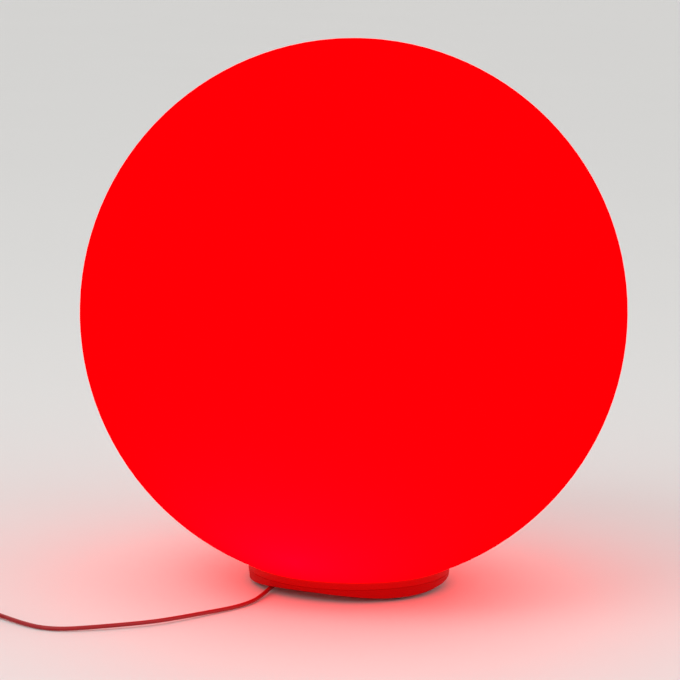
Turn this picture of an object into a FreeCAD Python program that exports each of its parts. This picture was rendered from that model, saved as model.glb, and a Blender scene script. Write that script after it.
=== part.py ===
import FreeCAD, Part
import math
import os

import Sketcher

# Garden globe light: an opal ball on a low round base, with a thin low-voltage lead.
# Millimetres and degrees. The lamp stands on z = 0, and its axis is Z. The viewer looks along +Y.

VEC = FreeCAD.Vector
UP = VEC(0, 0, 1)

# The driving dimensions, which go into the document's sheet.
DIMENSIONS = [
    # the ball
    ("globe_radius", 200.0),
    ("globe_wall", 3.0),
    ("globe_height", 201.0),
    ("land_radius", 70.0),
    ("mouth_radius", 62.0),
    # the collar under the ball, and its bayonet
    ("base_radius", 74.4),
    ("edge_round", 0.4),
    ("foot_draft", 1.0),
    ("seam_height", 10.0),
    ("seam_gap", 0.15),
    ("gasket_thick", 0.8),
    ("spigot_radius", 61.7),
    ("spigot_top", 22.0),
    ("bore_radius", 58.0),
    ("lug_reach", 54.6),
    ("lug_low", 14.0),
    ("lug_thick", 3.0),
    ("lug_angle", 22.0),
    ("twist_angle", 32.0),
    ("lug_play", 0.3),
    ("stop_angle", 0.5),
    ("clamp_thick", 3.0),
    ("clamp_boss", 8.0),
    ("clamp_boss_low", 3.5),
    ("clamp_boss_high", 3.1),
    ("spigot_bevel", 1.0),
    ("lug_bevel", 0.4),
    ("collar_screw_circle", 65.7),
    # the foot: its floor, its hub and its wavy rim
    ("running_gap", 0.1),
    ("hub_inner", 51.5),
    ("hub_top", 30.0),
    ("hub_bevel", 1.2),
    ("floor_low", 6.9),
    ("floor_thick", 2.7),
    ("rim_wall", 3.0),
    ("rim_mean", 4.7),
    ("rim_swing", 2.1),
    ("rim_low_angle", -57.0),
    ("pad_circle", 63.0),
    ("pad_radius", 4.9),
    ("pad_height", 3.8),
    ("pad_bevel", 0.6),
    ("pad_boss", 6.5),
    ("pad_boss_low", 2.7),
    ("seal_centre", 56.95),
    ("seal_wire", 0.9),
    ("seal_height", 11.9),
    # screws, by their shank and head radius
    ("screw_shank", 1.45),
    ("screw_hole", 1.7),
    ("pilot_hole", 1.5),
    ("screw_head", 2.75),
    ("head_thick", 1.8),
    ("head_crown", 0.72),
    ("sink_play", 0.35),
    ("sink_depth", 0.15),
    ("collar_screw_length", 10.0),
    ("dome_screw_length", 15.0),
    ("board_screw_length", 7.0),
    ("board_screw_shank", 1.2),
    ("board_pilot", 1.25),
    ("board_hole", 1.6),
    # the light unit on top of the hub
    ("unit_radius", 54.0),
    ("plate_seal_thick", 0.8),
    ("plate_thick", 2.0),
    ("board_thick", 1.6),
    ("led_board_radius", 41.0),
    ("dome_radius", 45.5),
    ("dome_rise", 27.0),
    ("dome_wall", 2.0),
    ("flange_thick", 2.2),
    ("ring_thick", 2.5),
    ("dome_screw_circle", 50.0),
    ("dome_post", 3.2),
    ("dome_post_height", 11.0),
    ("dome_pilot_depth", 9.0),
    ("wire_hole", 4.0),
    ("led_side", 5.0),
    ("led_thick", 1.5),
    ("ribbon_width", 5.6),
    ("ribbon_thick", 0.8),
    # the driver board in the hub
    ("driver_radius", 43.0),
    ("driver_height", 18.0),
    ("driver_post_circle", 37.0),
    ("driver_post_low", 3.4),
    ("driver_post_high", 2.8),
    ("driver_window", 7.0),
    # the button under the floor
    ("button_radius", 5.8),
    ("button_low", 4.6),
    ("button_travel", 0.8),
    ("button_play", 0.2),
    ("button_flange", 1.6),
    ("button_flange_thick", 1.0),
    ("button_stem", 2.2),
    ("bush_wide", 2.6),
    ("bush_high", 0.8),
    ("button_seal_thick", 1.1),
    ("switch_side", 6.0),
    ("switch_high", 3.5),
    ("switch_reach", 1.3),
    ("switch_pin", 1.7),
    # the lead, its boot and its pocket in the floor
    ("lead_width", 3.0),
    ("boot_reach", 18.0),
    ("boot_radius", 3.4),
    ("boot_tip", 2.2),
    ("boot_height", 6.0),
    ("boot_stem", 4.0),
    ("boot_elbow", 2.6),
    ("boot_collar", 5.4),
    ("boot_collar_thick", 1.2),
    ("boot_stem_top", 4.6),
    ("boot_rib_gap", 1.2),
    ("boot_rib_pitch", 3.0),
    ("boot_rib_start", 8.0),
    ("nut_radius", 6.4),
    ("nut_thick", 2.0),
    ("core_radius", 0.7),
    ("pocket_ceiling", 12.4),
    ("pocket_width", 13.0),
    ("pocket_start", 20.0),
    ("pocket_end", 50.0),
    ("run_end", 61.0),
    ("run_ceiling", 8.6),
    ("shelf_thick", 2.0),
    # the plug
    ("plug_radius", 5.4),
    ("plug_grip", 20.0),
    ("plug_relief", 13.0),
    ("barrel_radius", 2.75),
    ("barrel_bore", 1.25),
    ("barrel_length", 9.5),
    ("barrel_bevel", 0.4),
    ("core_wall", 0.45),
    ("core_proud", 0.3),
]

SCREWS_ROUND = 6
LUGS = 3
LOBES = 3
RIM_POINTS = 36
RIM_OVERRUN = 0.3

# How far a cutter starts below the wall it goes through, its height, and a small overlap or overrun.
CUT_BELOW = 3.0
CUT_TALL = 10.0
OVERLAP = 0.5
OVERRUN = 1.0

# The angles at which the driver board's posts and the light unit's screws start.
BOARD_POSTS = 3
POST_ANGLE = 30.0
DOME_ANGLE = 15.0

# The lead's route, from the boot's tip to the coil, as the points where its straight runs meet.
LEAD_ROUTE = [
    (-45.2, -26.7, 6.0),
    (-50.0, -33.2, 4.8),
    (-55.0, -41.0, 3.4),
    (-60.4, -50.8, 2.5),
    (-67.4, -66.6, 2.3),
    (-77.6, -88.6, 2.7),
    (-93.7, -113.3, 3.1),
    (-113.1, -132.9, 3.4),
    (-136.0, -149.1, 3.4),
    (-159.4, -161.3, 3.0),
    (-180.3, -168.5, 2.5),
    (-198.2, -171.1, 2.0),
    (-213.6, -167.6, 1.8),
    (-225.6, -157.5, 1.8),
    (-236.0, -144.2, 2.0),
    (-246.0, -132.0, 2.2),
]

# The square components on the driver board: two sides, the height, and the place of a corner.
BOARD_BLOCKS = [
    ("inductor", 10.0, 10.0, 4.5, -2.0, -27.0),
    ("controller", 7.0, 5.0, 1.6, 12.0, -4.0),
    ("red_switch", 3.0, 3.0, 1.3, 24.0, -16.0),
    ("green_switch", 3.0, 3.0, 1.3, 24.0, -10.0),
    ("blue_switch", 3.0, 3.0, 1.3, 24.0, -4.0),
]

# The connector's corner on that board, its two sides and its height, and its mouth's inset.
CONNECTOR = VEC(-14.0, 1.0, 0.0)
CONNECTOR_SIDES = 8.0, 6.0, 6.0
CONNECTOR_INSET = 0.8, 1.2
CONNECTOR_DEPTH = 1.5

# The light sources: the radius of each ring and how many it holds.
LED_RINGS = [(34.0, 12), (18.0, 6)]

# The coil: where its first turn starts, which way the lead runs there, and its turns.
COIL_START = VEC(-255.4, -120.2, 2.45)
COIL_HEADING = 131.0
COIL_INNER = 10.9
COIL_PITCH = 3.45
COIL_TURNS = 6.5
COIL_STEP = 0.25
LEAD_SIDES = 8
CORE_SIDES = 6
CLIMB_START = 3.0
CLIMB_TURNS = 0.5
TIE_TURN = 0.75
TIE_THICK = 0.7
TIE_WIDTH = 4.0
TIE_GAP = 0.2

doc = FreeCAD.newDocument("garden_globe_light")
sheet = doc.addObject("Spreadsheet::Sheet", "sizes")


class Size:
    """A dimension with its value and the sheet expression that gives it."""

    def __init__(self, value, text):
        self.value = float(value)
        self.text = text

    def join(self, other, sign, value):
        return Size(value, "(%s %s %s)" % (self.text, sign, as_size(other).text))

    def __add__(self, other):
        return self.join(other, "+", self.value + as_size(other).value)

    def __sub__(self, other):
        return self.join(other, "-", self.value - as_size(other).value)

    def __mul__(self, other):
        return self.join(other, "*", self.value * as_size(other).value)

    def __truediv__(self, other):
        return self.join(other, "/", self.value / as_size(other).value)

    __radd__ = __add__
    __rmul__ = __mul__


def as_size(number):
    return number if isinstance(number, Size) else Size(number, "%.6f" % number)


def root(size):
    return Size(math.sqrt(size.value), "sqrt(%s)" % size.text)


def cosine(size):
    size = as_size(size)
    return Size(math.cos(math.radians(size.value)), "cos(%s)" % size.text)


def sine(size):
    size = as_size(size)
    return Size(math.sin(math.radians(size.value)), "sin(%s)" % size.text)


def fill_sheet():
    """Write the driving dimensions, and return them by name."""
    found = {}
    for row, (name, value) in enumerate(DIMENSIONS, start=1):
        sheet.set("A%d" % row, name)
        sheet.set("B%d" % row, "%g" % value)
        sheet.setAlias("B%d" % row, name)
        found[name] = Size(value, "sizes.%s" % name)
    doc.recompute()
    return found


S = fill_sheet()


def bind(item, field, size):
    """Set a property from a size, and tie it to the sheet."""
    size = as_size(size)
    if "." not in field:
        setattr(item, field, size.value)
    item.setExpression(field, size.text)


def place(item, x, y, z, turn=0.0, axis=UP):
    """Put an object at a place worked out from the sheet, turned about an axis."""
    item.Placement = FreeCAD.Placement(VEC(0, 0, 0), FreeCAD.Rotation(axis, turn))
    for field, size in (("x", x), ("y", y), ("z", z)):
        if isinstance(size, Size) or size:
            item.setExpression("Placement.Base.%s" % field, as_size(size).text)


# --- Part primitives and booleans ---------------------------------------------------------------

def cylinder(label, radius, height, x=0.0, y=0.0, z=0.0):
    item = doc.addObject("Part::Cylinder", label)
    bind(item, "Radius", radius)
    bind(item, "Height", height)
    place(item, x, y, z)
    return item


def cone(label, radius_low, radius_high, height, x=0.0, y=0.0, z=0.0, turn=0.0, axis=UP):
    item = doc.addObject("Part::Cone", label)
    bind(item, "Radius1", radius_low)
    bind(item, "Radius2", radius_high)
    bind(item, "Height", height)
    place(item, x, y, z, turn, axis)
    return item


def block(label, length, width, height, x=0.0, y=0.0, z=0.0, turn=0.0):
    item = doc.addObject("Part::Box", label)
    bind(item, "Length", length)
    bind(item, "Width", width)
    bind(item, "Height", height)
    place(item, x, y, z, turn)
    return item


def fuse(label, items):
    item = doc.addObject("Part::MultiFuse", label)
    item.Shapes = items
    item.Refine = False
    return item


def cut(label, base, tools):
    item = doc.addObject("Part::Cut", label)
    item.Base = base
    item.Tool = tools[0] if len(tools) == 1 else fuse(label + "_cutters", tools)
    item.Refine = False
    return item


def compound(label, items):
    """Separate like pieces that share one node."""
    item = doc.addObject("Part::Compound", label)
    item.Links = items
    return item


def round_the_axis(make, circle, count, first=0.0):
    """Make one piece at each place on a circle round the axis."""
    made = []
    for index in range(count):
        angle = as_size(first) + 360.0 / count * index
        made.append(make(index, circle * cosine(angle), circle * sine(angle)))
    return made


# --- Turned bodies ------------------------------------------------------------------------------

def origin_plane(body, role):
    return next(item for item in body.Origin.OriginFeatures if item.Role == role)


def outline_sketch(body, name, outline, turn=0.0):
    """A closed outline of radius and height, each corner tied to the sheet."""
    sketch = body.newObject("Sketcher::SketchObject", name)
    sketch.AttachmentSupport = [(origin_plane(body, "XZ_Plane"), "")]
    sketch.MapMode = "FlatFace"
    sketch.AttachmentOffset = FreeCAD.Placement(VEC(0, 0, 0), FreeCAD.Rotation(VEC(0, 1, 0), turn))
    corners = [(as_size(radius), as_size(height)) for radius, height in outline]
    points = [VEC(radius.value, height.value, 0) for radius, height in corners]
    count = len(points)
    for index, point in enumerate(points):
        sketch.addGeometry(Part.LineSegment(point, points[(index + 1) % count]), False)
    for index in range(count):
        sketch.addConstraint(Sketcher.Constraint("Coincident", index, 2, (index + 1) % count, 1))
    for index, corner in enumerate(corners):
        for kind, size in zip(("DistanceX", "DistanceY"), corner):
            number = sketch.addConstraint(Sketcher.Constraint(kind, -1, 1, index, 1, size.value))
            if size.text.strip("-.0123456789"):
                sketch.setExpression("Constraints[%d]" % number, size.text)
    return sketch


def turned(label, outline):
    """A body turned about Z from one closed outline."""
    body = doc.addObject("PartDesign::Body", label)
    sketch = outline_sketch(body, label + "_outline", outline)
    turning = body.newObject("PartDesign::Revolution", label + "_turned")
    turning.Profile = sketch
    turning.ReferenceAxis = (sketch, ["V_Axis"])
    turning.Angle = 360.0
    sketch.Visibility = False
    return body


def sectors(body, name, kind, outline, start, angle, count):
    """Part turns of an outline, added or cut, repeated round the axis."""
    sketch = outline_sketch(body, name + "_outline", outline, start)
    part_turn = body.newObject("PartDesign::" + kind, name)
    part_turn.Profile = sketch
    part_turn.ReferenceAxis = (sketch, ["V_Axis"])
    bind(part_turn, "Angle", angle)
    pattern = body.newObject("PartDesign::PolarPattern", name + "_pattern")
    pattern.Originals = [part_turn]
    pattern.Axis = (sketch, ["V_Axis"])
    pattern.Angle = 360.0
    pattern.Occurrences = count
    body.Tip = pattern
    return pattern


# --- Tubes along a route ------------------------------------------------------------------------

def corner_arcs(points):
    """The runs of a route joined by tangent arcs, with the arcs' radii."""
    edges = []
    radii = []
    start = points[0]
    for before, corner, after in zip(points, points[1:], points[2:]):
        back = (before - corner).normalize()
        ahead = (after - corner).normalize()
        turn = math.pi - back.getAngle(ahead)
        shorter = min(corner.distanceToPoint(before), corner.distanceToPoint(after))
        reach = 0.45 * shorter
        radius = reach / math.tan(turn / 2.0)
        first = corner + back * reach
        last = corner + ahead * reach
        bisector = (back + ahead).normalize()
        centre = corner + bisector * (radius / math.cos(turn / 2.0))
        middle = centre - bisector * radius
        edges.append(Part.LineSegment(start, first).toShape())
        edges.append(Part.Arc(first, middle, last).toShape())
        radii.append(radius)
        start = last
    edges.append(Part.LineSegment(start, points[-1]).toShape())
    return Part.Wire(edges), radii


def sided_section(point, direction, radius, sides):
    """A regular section standing square to the path, with two of its sides level."""
    side = UP.cross(direction).normalize()
    top = direction.cross(side).normalize()
    reach = radius / math.cos(math.pi / sides)
    ring = []
    for index in range(sides + 1):
        angle = 2.0 * math.pi * (index + 0.5) / sides
        ring.append(point + side * (reach * math.cos(angle)) + top * (reach * math.sin(angle)))
    return Part.makePolygon(ring)


def swept(label, path, section):
    """A solid tube along a path, compared with its section times its length."""
    shape = path.makePipeShell([section], True, False)
    if shape.ShapeType != "Solid":
        shape = Part.Solid(shape.Shells[0])
    if shape.Volume < 0:
        shape.reverse()
    expected = Part.Face(section).Area * path.Length
    print("%s: length %.1f, volume over section times length %.4f"
          % (label, path.Length, shape.Volume / expected))
    return shape


def feature(label, shape):
    """A piece that neither a body nor a primitive can make."""
    item = doc.addObject("Part::Feature", label)
    item.Shape = shape
    item.Placement = FreeCAD.Placement()
    return item


# --- Heights and radii that several pieces share --------------------------------------------------

def ball_height(radius):
    """The height of the ball's outside at a radius, on its lower half."""
    return S["globe_height"] - root(S["globe_radius"] * S["globe_radius"] - radius * radius)


land_low = ball_height(S["land_radius"])
land_high = land_low + S["globe_wall"]
flange_top = land_low - S["gasket_thick"]
foot_top = S["seam_height"] - S["seam_gap"]
floor_top = S["floor_low"] + S["floor_thick"]
hub_outer = S["bore_radius"] - S["running_gap"]
plate_low = S["hub_top"] + S["plate_seal_thick"]
plate_top = plate_low + S["plate_thick"]
led_board_top = plate_top + S["board_thick"]
flange_high = plate_top + S["flange_thick"]
ring_high = flange_high + S["ring_thick"]
driver_top = S["driver_height"] + S["board_thick"]
lug_high = S["lug_low"] + S["lug_thick"]
switch_low = S["driver_height"] - S["switch_high"] - S["switch_reach"]

# The lead leaves along this line: its heading, and the point of it that is nearest the axis.
EXIT_HEADING = -135.8
EXIT_SIDE = 12.4
EXIT_ALONG = VEC(math.cos(math.radians(EXIT_HEADING)), math.sin(math.radians(EXIT_HEADING)), 0)
EXIT_ACROSS = VEC(-EXIT_ALONG.y, EXIT_ALONG.x, 0)
EXIT_START = EXIT_ACROSS * -EXIT_SIDE
STEM_ALONG = 27.0


def on_exit_line(along, across=0.0):
    return EXIT_START + EXIT_ALONG * along + EXIT_ACROSS * across


# --- The ball and what is fixed to it ---------------------------------------------------------------

def screw(label, x, y, head_low, head_up, length, radius=None):
    """A screw as its shank and its pan head; head_up says which way the head faces."""
    shank_radius = radius or S["screw_shank"]
    if head_up:
        shank = cylinder(label + "_shank", shank_radius, length, x, y, head_low - length)
        head = cone(label + "_head", S["screw_head"], S["screw_head"] * S["head_crown"], S["head_thick"],
                    x, y, head_low)
    else:
        shank = cylinder(label + "_shank", shank_radius, length, x, y, head_low + S["head_thick"])
        head = cone(label + "_head", S["screw_head"], shank_radius, S["head_thick"], x, y, head_low)
    return fuse(label, [shank, head])


def screw_holes(label, circle, radius, wall_low, count=SCREWS_ROUND, first=0.0):
    """Cutters for holes that go through a thin wall."""
    return blind_holes(label, circle, radius, wall_low - CUT_BELOW, CUT_TALL, count, first)


def blind_holes(label, circle, radius, low, height, count=SCREWS_ROUND, first=0.0):
    """Cutters for holes from one height up."""
    return round_the_axis(
        lambda index, x, y: cylinder("%s_%d" % (label, index), radius, height, x, y, low),
        circle, count, first)


def globe_shell():
    """A moulded ball with a flat land round its mouth."""
    outer = doc.addObject("Part::Sphere", "ball_outside")
    bind(outer, "Radius", S["globe_radius"])
    outer.setExpression("Angle1", "-acos(%s)" % (S["land_radius"] / S["globe_radius"]).text)
    place(outer, 0, 0, S["globe_height"])
    inner = doc.addObject("Part::Sphere", "ball_inside")
    inner_radius = S["globe_radius"] - S["globe_wall"]
    bind(inner, "Radius", inner_radius)
    sink = (S["globe_height"] - land_high) / inner_radius
    inner.setExpression("Angle1", "-asin(%s)" % sink.text)
    place(inner, 0, 0, S["globe_height"])
    hollow = cut("ball_hollow", outer, [inner])
    mouth = cylinder("ball_mouth", S["mouth_radius"], CUT_TALL, z=land_low - CUT_BELOW)
    holes = screw_holes("ball_hole", S["collar_screw_circle"], S["screw_hole"], land_low)
    return cut("globe_shell", hollow, [mouth] + holes)


def globe_collar():
    """The ring under the ball: a flange, a spigot into the mouth, and three bayonet lugs."""
    hug = 0.05
    rest = S["land_radius"] + 0.2
    soft = S["edge_round"] / 2.0
    bevel = S["spigot_bevel"]
    body = turned("collar_blank", [
        (S["bore_radius"] + bevel / 2.0, S["seam_height"]),
        (S["base_radius"] - soft, S["seam_height"]),
        (S["base_radius"], S["seam_height"] + soft),
        (S["base_radius"], ball_height(S["base_radius"]) - hug),
        (rest, land_low),
        (rest, flange_top),
        (S["spigot_radius"], flange_top),
        (S["spigot_radius"], S["spigot_top"] - bevel),
        (S["spigot_radius"] - bevel, S["spigot_top"]),
        (S["bore_radius"], S["spigot_top"]),
        (S["bore_radius"], S["seam_height"] + bevel / 2.0),
    ])
    bevel = S["lug_bevel"]
    sectors(body, "collar_lug", "Revolution", [
        (S["lug_reach"], S["lug_low"] + bevel),
        (S["lug_reach"] + bevel, S["lug_low"]),
        (S["bore_radius"] + OVERRUN, S["lug_low"]),
        (S["bore_radius"] + OVERRUN, lug_high),
        (S["lug_reach"] + bevel, lug_high),
        (S["lug_reach"], lug_high - bevel),
    ], 0.0, S["lug_angle"], LUGS)
    holes = screw_holes("collar_hole", S["collar_screw_circle"], S["screw_hole"], S["seam_height"])
    sinks = round_the_axis(
        lambda index, x, y: cone("collar_sink_%d" % index, S["screw_head"] + S["sink_play"],
                                 S["screw_hole"], S["head_thick"] + S["sink_depth"],
                                 x, y, S["seam_height"] - 0.01),
        S["collar_screw_circle"], SCREWS_ROUND)
    return cut("globe_collar", body, holes + sinks)


def washer(inner, outer, low, high):
    """The square outline of a flat ring."""
    return [(inner, low), (outer, low), (outer, high), (inner, high)]


def mouth_gasket():
    inner = S["spigot_radius"] + 0.3
    outer = S["land_radius"] - 0.4
    ring = turned("gasket_blank", washer(inner, outer, flange_top, land_low))
    holes = screw_holes("gasket_hole", S["collar_screw_circle"], S["screw_hole"], flange_top)
    return cut("mouth_gasket", ring, holes)


def clamp_ring():
    """The ring inside the ball that the collar's screws pull down on the land."""
    inner = S["mouth_radius"] + 0.1
    outer = S["land_radius"] - 0.9
    flare = S["clamp_thick"] * 0.2
    body = turned("clamp_blank", [
        (inner, land_high),
        (outer, land_high),
        (outer + flare, land_high + S["clamp_thick"]),
        (inner, land_high + S["clamp_thick"]),
    ])
    bosses = round_the_axis(
        lambda index, x, y: cone("clamp_boss_%d" % index, S["clamp_boss_low"], S["clamp_boss_high"],
                                 S["clamp_boss"], x, y, land_high),
        S["collar_screw_circle"], SCREWS_ROUND)
    pilots = blind_holes("clamp_pilot", S["collar_screw_circle"], S["pilot_hole"],
                         land_high - OVERRUN, S["clamp_boss"])
    return cut("clamp_ring", fuse("clamp_cast", [body] + bosses), pilots)


def collar_screws():
    low = S["seam_height"] + S["sink_depth"]
    return compound("collar_screws", round_the_axis(
        lambda index, x, y: screw("collar_screw_%d" % index, x, y, low, False, S["collar_screw_length"]),
        S["collar_screw_circle"], SCREWS_ROUND))


# --- The foot -----------------------------------------------------------------------------------------

def rim_height(angle):
    """The height of the foot's lower rim: three low lobes with shallow arches between them."""
    turn = math.radians(LOBES * (angle - S["rim_low_angle"].value))
    return S["rim_mean"].value - S["rim_swing"].value * math.cos(turn)


def rim_wave():
    """What is cut away below the wavy rim."""
    curves = []
    inside = S["base_radius"].value - S["foot_draft"].value - S["rim_wall"].value - RIM_OVERRUN
    for radius in (inside, S["base_radius"].value + RIM_OVERRUN):
        points = []
        for index in range(RIM_POINTS):
            angle = 360.0 * index / RIM_POINTS
            turn = math.radians(angle)
            points.append(VEC(radius * math.cos(turn), radius * math.sin(turn), rim_height(angle)))
        curve = Part.BSplineCurve()
        curve.interpolate(Points=points, PeriodicFlag=True)
        curves.append(curve.toShape())
    ribbon = Part.makeRuledSurface(curves[0], curves[1])
    return feature("rim_wave", ribbon.extrude(VEC(0, 0, -12)))


def foot_blank():
    """The foot turned in one piece: rim, floor and hub, with the seal's groove and the bayonet."""
    groove_play = 0.1
    groove_low = S["seal_height"] - S["seal_wire"] - groove_play
    groove_high = S["seal_height"] + S["seal_wire"] + groove_play
    groove_floor = S["seal_centre"] - S["seal_wire"] - groove_play / 2.0
    inner_rim = S["base_radius"] - S["rim_wall"]
    button_bore = S["button_radius"] + S["button_play"]
    seal_step = S["button_seal_thick"] + 0.1
    seal_wide = S["bush_wide"] - 0.2
    soft = S["edge_round"] / 2.0
    bevel = S["hub_bevel"]
    rim_floor = S["rim_mean"] - S["rim_swing"] - S["floor_thick"] / 2.0
    body = turned("foot_blank", [
        (button_bore, S["floor_low"] + seal_step),
        (button_bore + seal_wide, S["floor_low"] + seal_step),
        (button_bore + seal_wide, S["floor_low"]),
        (inner_rim, S["floor_low"]),
        (inner_rim - S["foot_draft"], rim_floor),
        (S["base_radius"] - S["foot_draft"], rim_floor),
        (S["base_radius"], foot_top - soft),
        (S["base_radius"] - soft, foot_top),
        (hub_outer, foot_top),
        (hub_outer, groove_low),
        (groove_floor, groove_low),
        (groove_floor, groove_high),
        (hub_outer, groove_high),
        (hub_outer, S["hub_top"] - bevel),
        (hub_outer - bevel, S["hub_top"]),
        (S["hub_inner"], S["hub_top"]),
        (S["hub_inner"], floor_top),
        (button_bore + S["bush_wide"], floor_top),
        (button_bore + S["bush_wide"], floor_top + S["bush_high"]),
        (button_bore, floor_top + S["bush_high"]),
    ])
    slot_floor = S["lug_reach"] - S["lug_play"]
    entry_floor = slot_floor + 0.1
    track_low = S["lug_low"] - S["lug_play"]
    track_high = lug_high + S["lug_play"]
    track_angle = S["lug_angle"] + S["twist_angle"] + S["stop_angle"] * 2.0
    sectors(body, "bayonet_track", "Groove", [
        (slot_floor, track_low),
        (hub_outer + OVERRUN, track_low),
        (hub_outer + OVERRUN, track_high),
        (slot_floor, track_high),
    ], -S["stop_angle"].value, track_angle, LUGS)
    sectors(body, "bayonet_entry", "Groove", [
        (entry_floor, track_high - OVERRUN),
        (hub_outer + OVERRUN, track_high - OVERRUN),
        (hub_outer + OVERRUN, S["hub_top"] + OVERRUN),
        (entry_floor, S["hub_top"] + OVERRUN),
    ], S["twist_angle"].value - S["stop_angle"].value / 2.0, S["lug_angle"] + S["stop_angle"], LUGS)
    return body


def on_line_block(label, along_low, along_high, width, low, height):
    """A block centred on the lead's exit line, from one distance along it to another."""
    corner = on_exit_line(along_low.value, -width.value / 2.0)
    return block(label, along_high - along_low, width, height, corner.x, corner.y, low, EXIT_HEADING)


def base_foot():
    """The foot with its pocket for the lead, its board posts, its pads' bosses and its wavy rim."""
    wall = S["shelf_thick"]
    pad_bosses = round_the_axis(
        lambda index, x, y: cylinder("pad_boss_%d" % index, S["pad_boss"],
                                     S["floor_low"] + OVERLAP - S["pad_boss_low"], x, y, S["pad_boss_low"]),
        S["pad_circle"], LOBES, S["rim_low_angle"])
    posts = round_the_axis(
        lambda index, x, y: cone("board_post_%d" % index, S["driver_post_low"], S["driver_post_high"],
                                 S["driver_height"] - floor_top + OVERLAP, x, y, floor_top - OVERLAP),
        S["driver_post_circle"], BOARD_POSTS, POST_ANGLE)
    dome_posts = round_the_axis(
        lambda index, x, y: cylinder("dome_post_%d" % index, S["dome_post"], S["dome_post_height"],
                                     x, y, S["hub_top"] - S["dome_post_height"]),
        S["dome_screw_circle"] - 0.6, SCREWS_ROUND, DOME_ANGLE)
    shelf = on_line_block("pocket_shelf", S["pocket_start"] - wall, S["pocket_end"] + wall,
                          S["pocket_width"] + wall * 2.0, floor_top - OVERLAP,
                          S["pocket_ceiling"] + wall - floor_top + OVERLAP)
    solid = foot_blank()
    for index, item in enumerate([shelf] + pad_bosses + posts + dome_posts):
        solid = fuse("foot_with_%d" % index, [solid, item])
    stem = on_exit_line(STEM_ALONG)
    cutters = [
        rim_wave(),
        on_line_block("pocket_deep", S["pocket_start"], S["pocket_end"], S["pocket_width"],
                      as_size(0.0), S["pocket_ceiling"]),
        on_line_block("pocket_run", S["pocket_end"] - OVERRUN, S["run_end"], S["lead_width"] * 2.4,
                      as_size(0.0), S["run_ceiling"]),
        cylinder("stem_hole", S["boot_stem"] + 0.1, CUT_TALL, stem.x, stem.y,
                 S["pocket_ceiling"] - CUT_BELOW),
    ]
    cutters += round_the_axis(
        lambda index, x, y: cylinder("pad_recess_%d" % index, S["pad_radius"] + 0.1,
                                     S["pad_height"] + 0.02, x, y, 0.0),
        S["pad_circle"], LOBES, S["rim_low_angle"])
    cutters += blind_holes("post_pilot", S["driver_post_circle"], S["board_pilot"],
                           S["driver_height"] - S["board_screw_length"],
                           S["board_screw_length"] + OVERRUN, BOARD_POSTS, POST_ANGLE)
    cutters += blind_holes("dome_pilot", S["dome_screw_circle"], S["pilot_hole"],
                           S["hub_top"] - S["dome_pilot_depth"],
                           S["dome_pilot_depth"] + OVERRUN, SCREWS_ROUND, DOME_ANGLE)
    return cut("base_foot", solid, cutters)


def base_seal():
    """The ring in the hub's groove that wipes the collar's bore, with its corners taken off."""
    wire = S["seal_wire"]
    inner = S["seal_centre"] - wire
    outer = S["seal_centre"] + wire
    low = S["seal_height"] - wire
    high = S["seal_height"] + wire
    bevel = wire * 0.6
    return turned("base_seal", [
        (inner, low),
        (outer - bevel, low),
        (outer, low + bevel),
        (outer, high - bevel),
        (outer - bevel, high),
        (inner, high),
    ])


def rubber_feet():
    def pad(index, x, y):
        bevel = S["pad_bevel"]
        lower = cone("pad_toe_%d" % index, S["pad_radius"] - bevel, S["pad_radius"], bevel, x, y, 0.0)
        upper = cylinder("pad_stem_%d" % index, S["pad_radius"], S["pad_height"] - bevel, x, y, bevel)
        return fuse("rubber_foot_%d" % index, [lower, upper])
    return compound("rubber_feet", round_the_axis(pad, S["pad_circle"], LOBES, S["rim_low_angle"]))


# --- The button ---------------------------------------------------------------------------------------

def mode_button():
    """A capped plunger that rests its flange on the floor's raised bush."""
    flange_low = floor_top + S["bush_high"]
    flange_high = flange_low + S["button_flange_thick"]
    flange_radius = S["button_radius"] + S["button_flange"]
    stem_top = switch_low - 0.1 - S["button_travel"]
    dish = S["button_radius"] * 0.6
    bevel = 0.6
    return turned("mode_button", [
        (0.0, S["button_low"] + 0.5),
        (dish, S["button_low"] + 0.3),
        (S["button_radius"] - bevel, S["button_low"]),
        (S["button_radius"], S["button_low"] + bevel),
        (S["button_radius"], flange_low),
        (flange_radius, flange_low),
        (flange_radius, flange_high),
        (S["button_stem"], flange_high),
        (S["button_stem"] - 0.2, stem_top),
        (0.0, stem_top),
    ])


def button_seal():
    inner = S["button_radius"] + S["button_play"] + 0.1
    outer = inner + S["bush_wide"] - 0.4
    low = S["floor_low"] + 0.1
    return turned("button_seal", washer(inner, outer, low, low + S["button_seal_thick"]))


def tact_switch():
    """The switch under the board that the button presses."""
    side = S["switch_side"]
    corner = side * -0.5
    body = block("switch_body", side, side, S["switch_high"], corner, corner,
                 S["driver_height"] - S["switch_high"])
    actuator = cylinder("switch_actuator", S["switch_pin"], S["switch_reach"] + 0.1, z=switch_low)
    return fuse("tact_switch", [body, actuator])


# --- The driver board -----------------------------------------------------------------------------------

def driver_board():
    disc = cylinder("driver_disc", S["driver_radius"], S["board_thick"], z=S["driver_height"])
    holes = screw_holes("driver_hole", S["driver_post_circle"], S["board_hole"],
                        S["driver_height"], BOARD_POSTS, POST_ANGLE)
    stem = on_exit_line(STEM_ALONG)
    low = S["driver_height"] - CUT_BELOW
    reach = S["driver_window"]
    window = cylinder("driver_window", reach, CUT_TALL, stem.x, stem.y, low)
    edge = block("driver_edge", reach * 3.0, reach * 2.0, CUT_TALL,
                 as_size(stem.x) - reach * 3.0, as_size(stem.y) - reach, low)
    return cut("driver_board", disc, holes + [window, edge])


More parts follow.
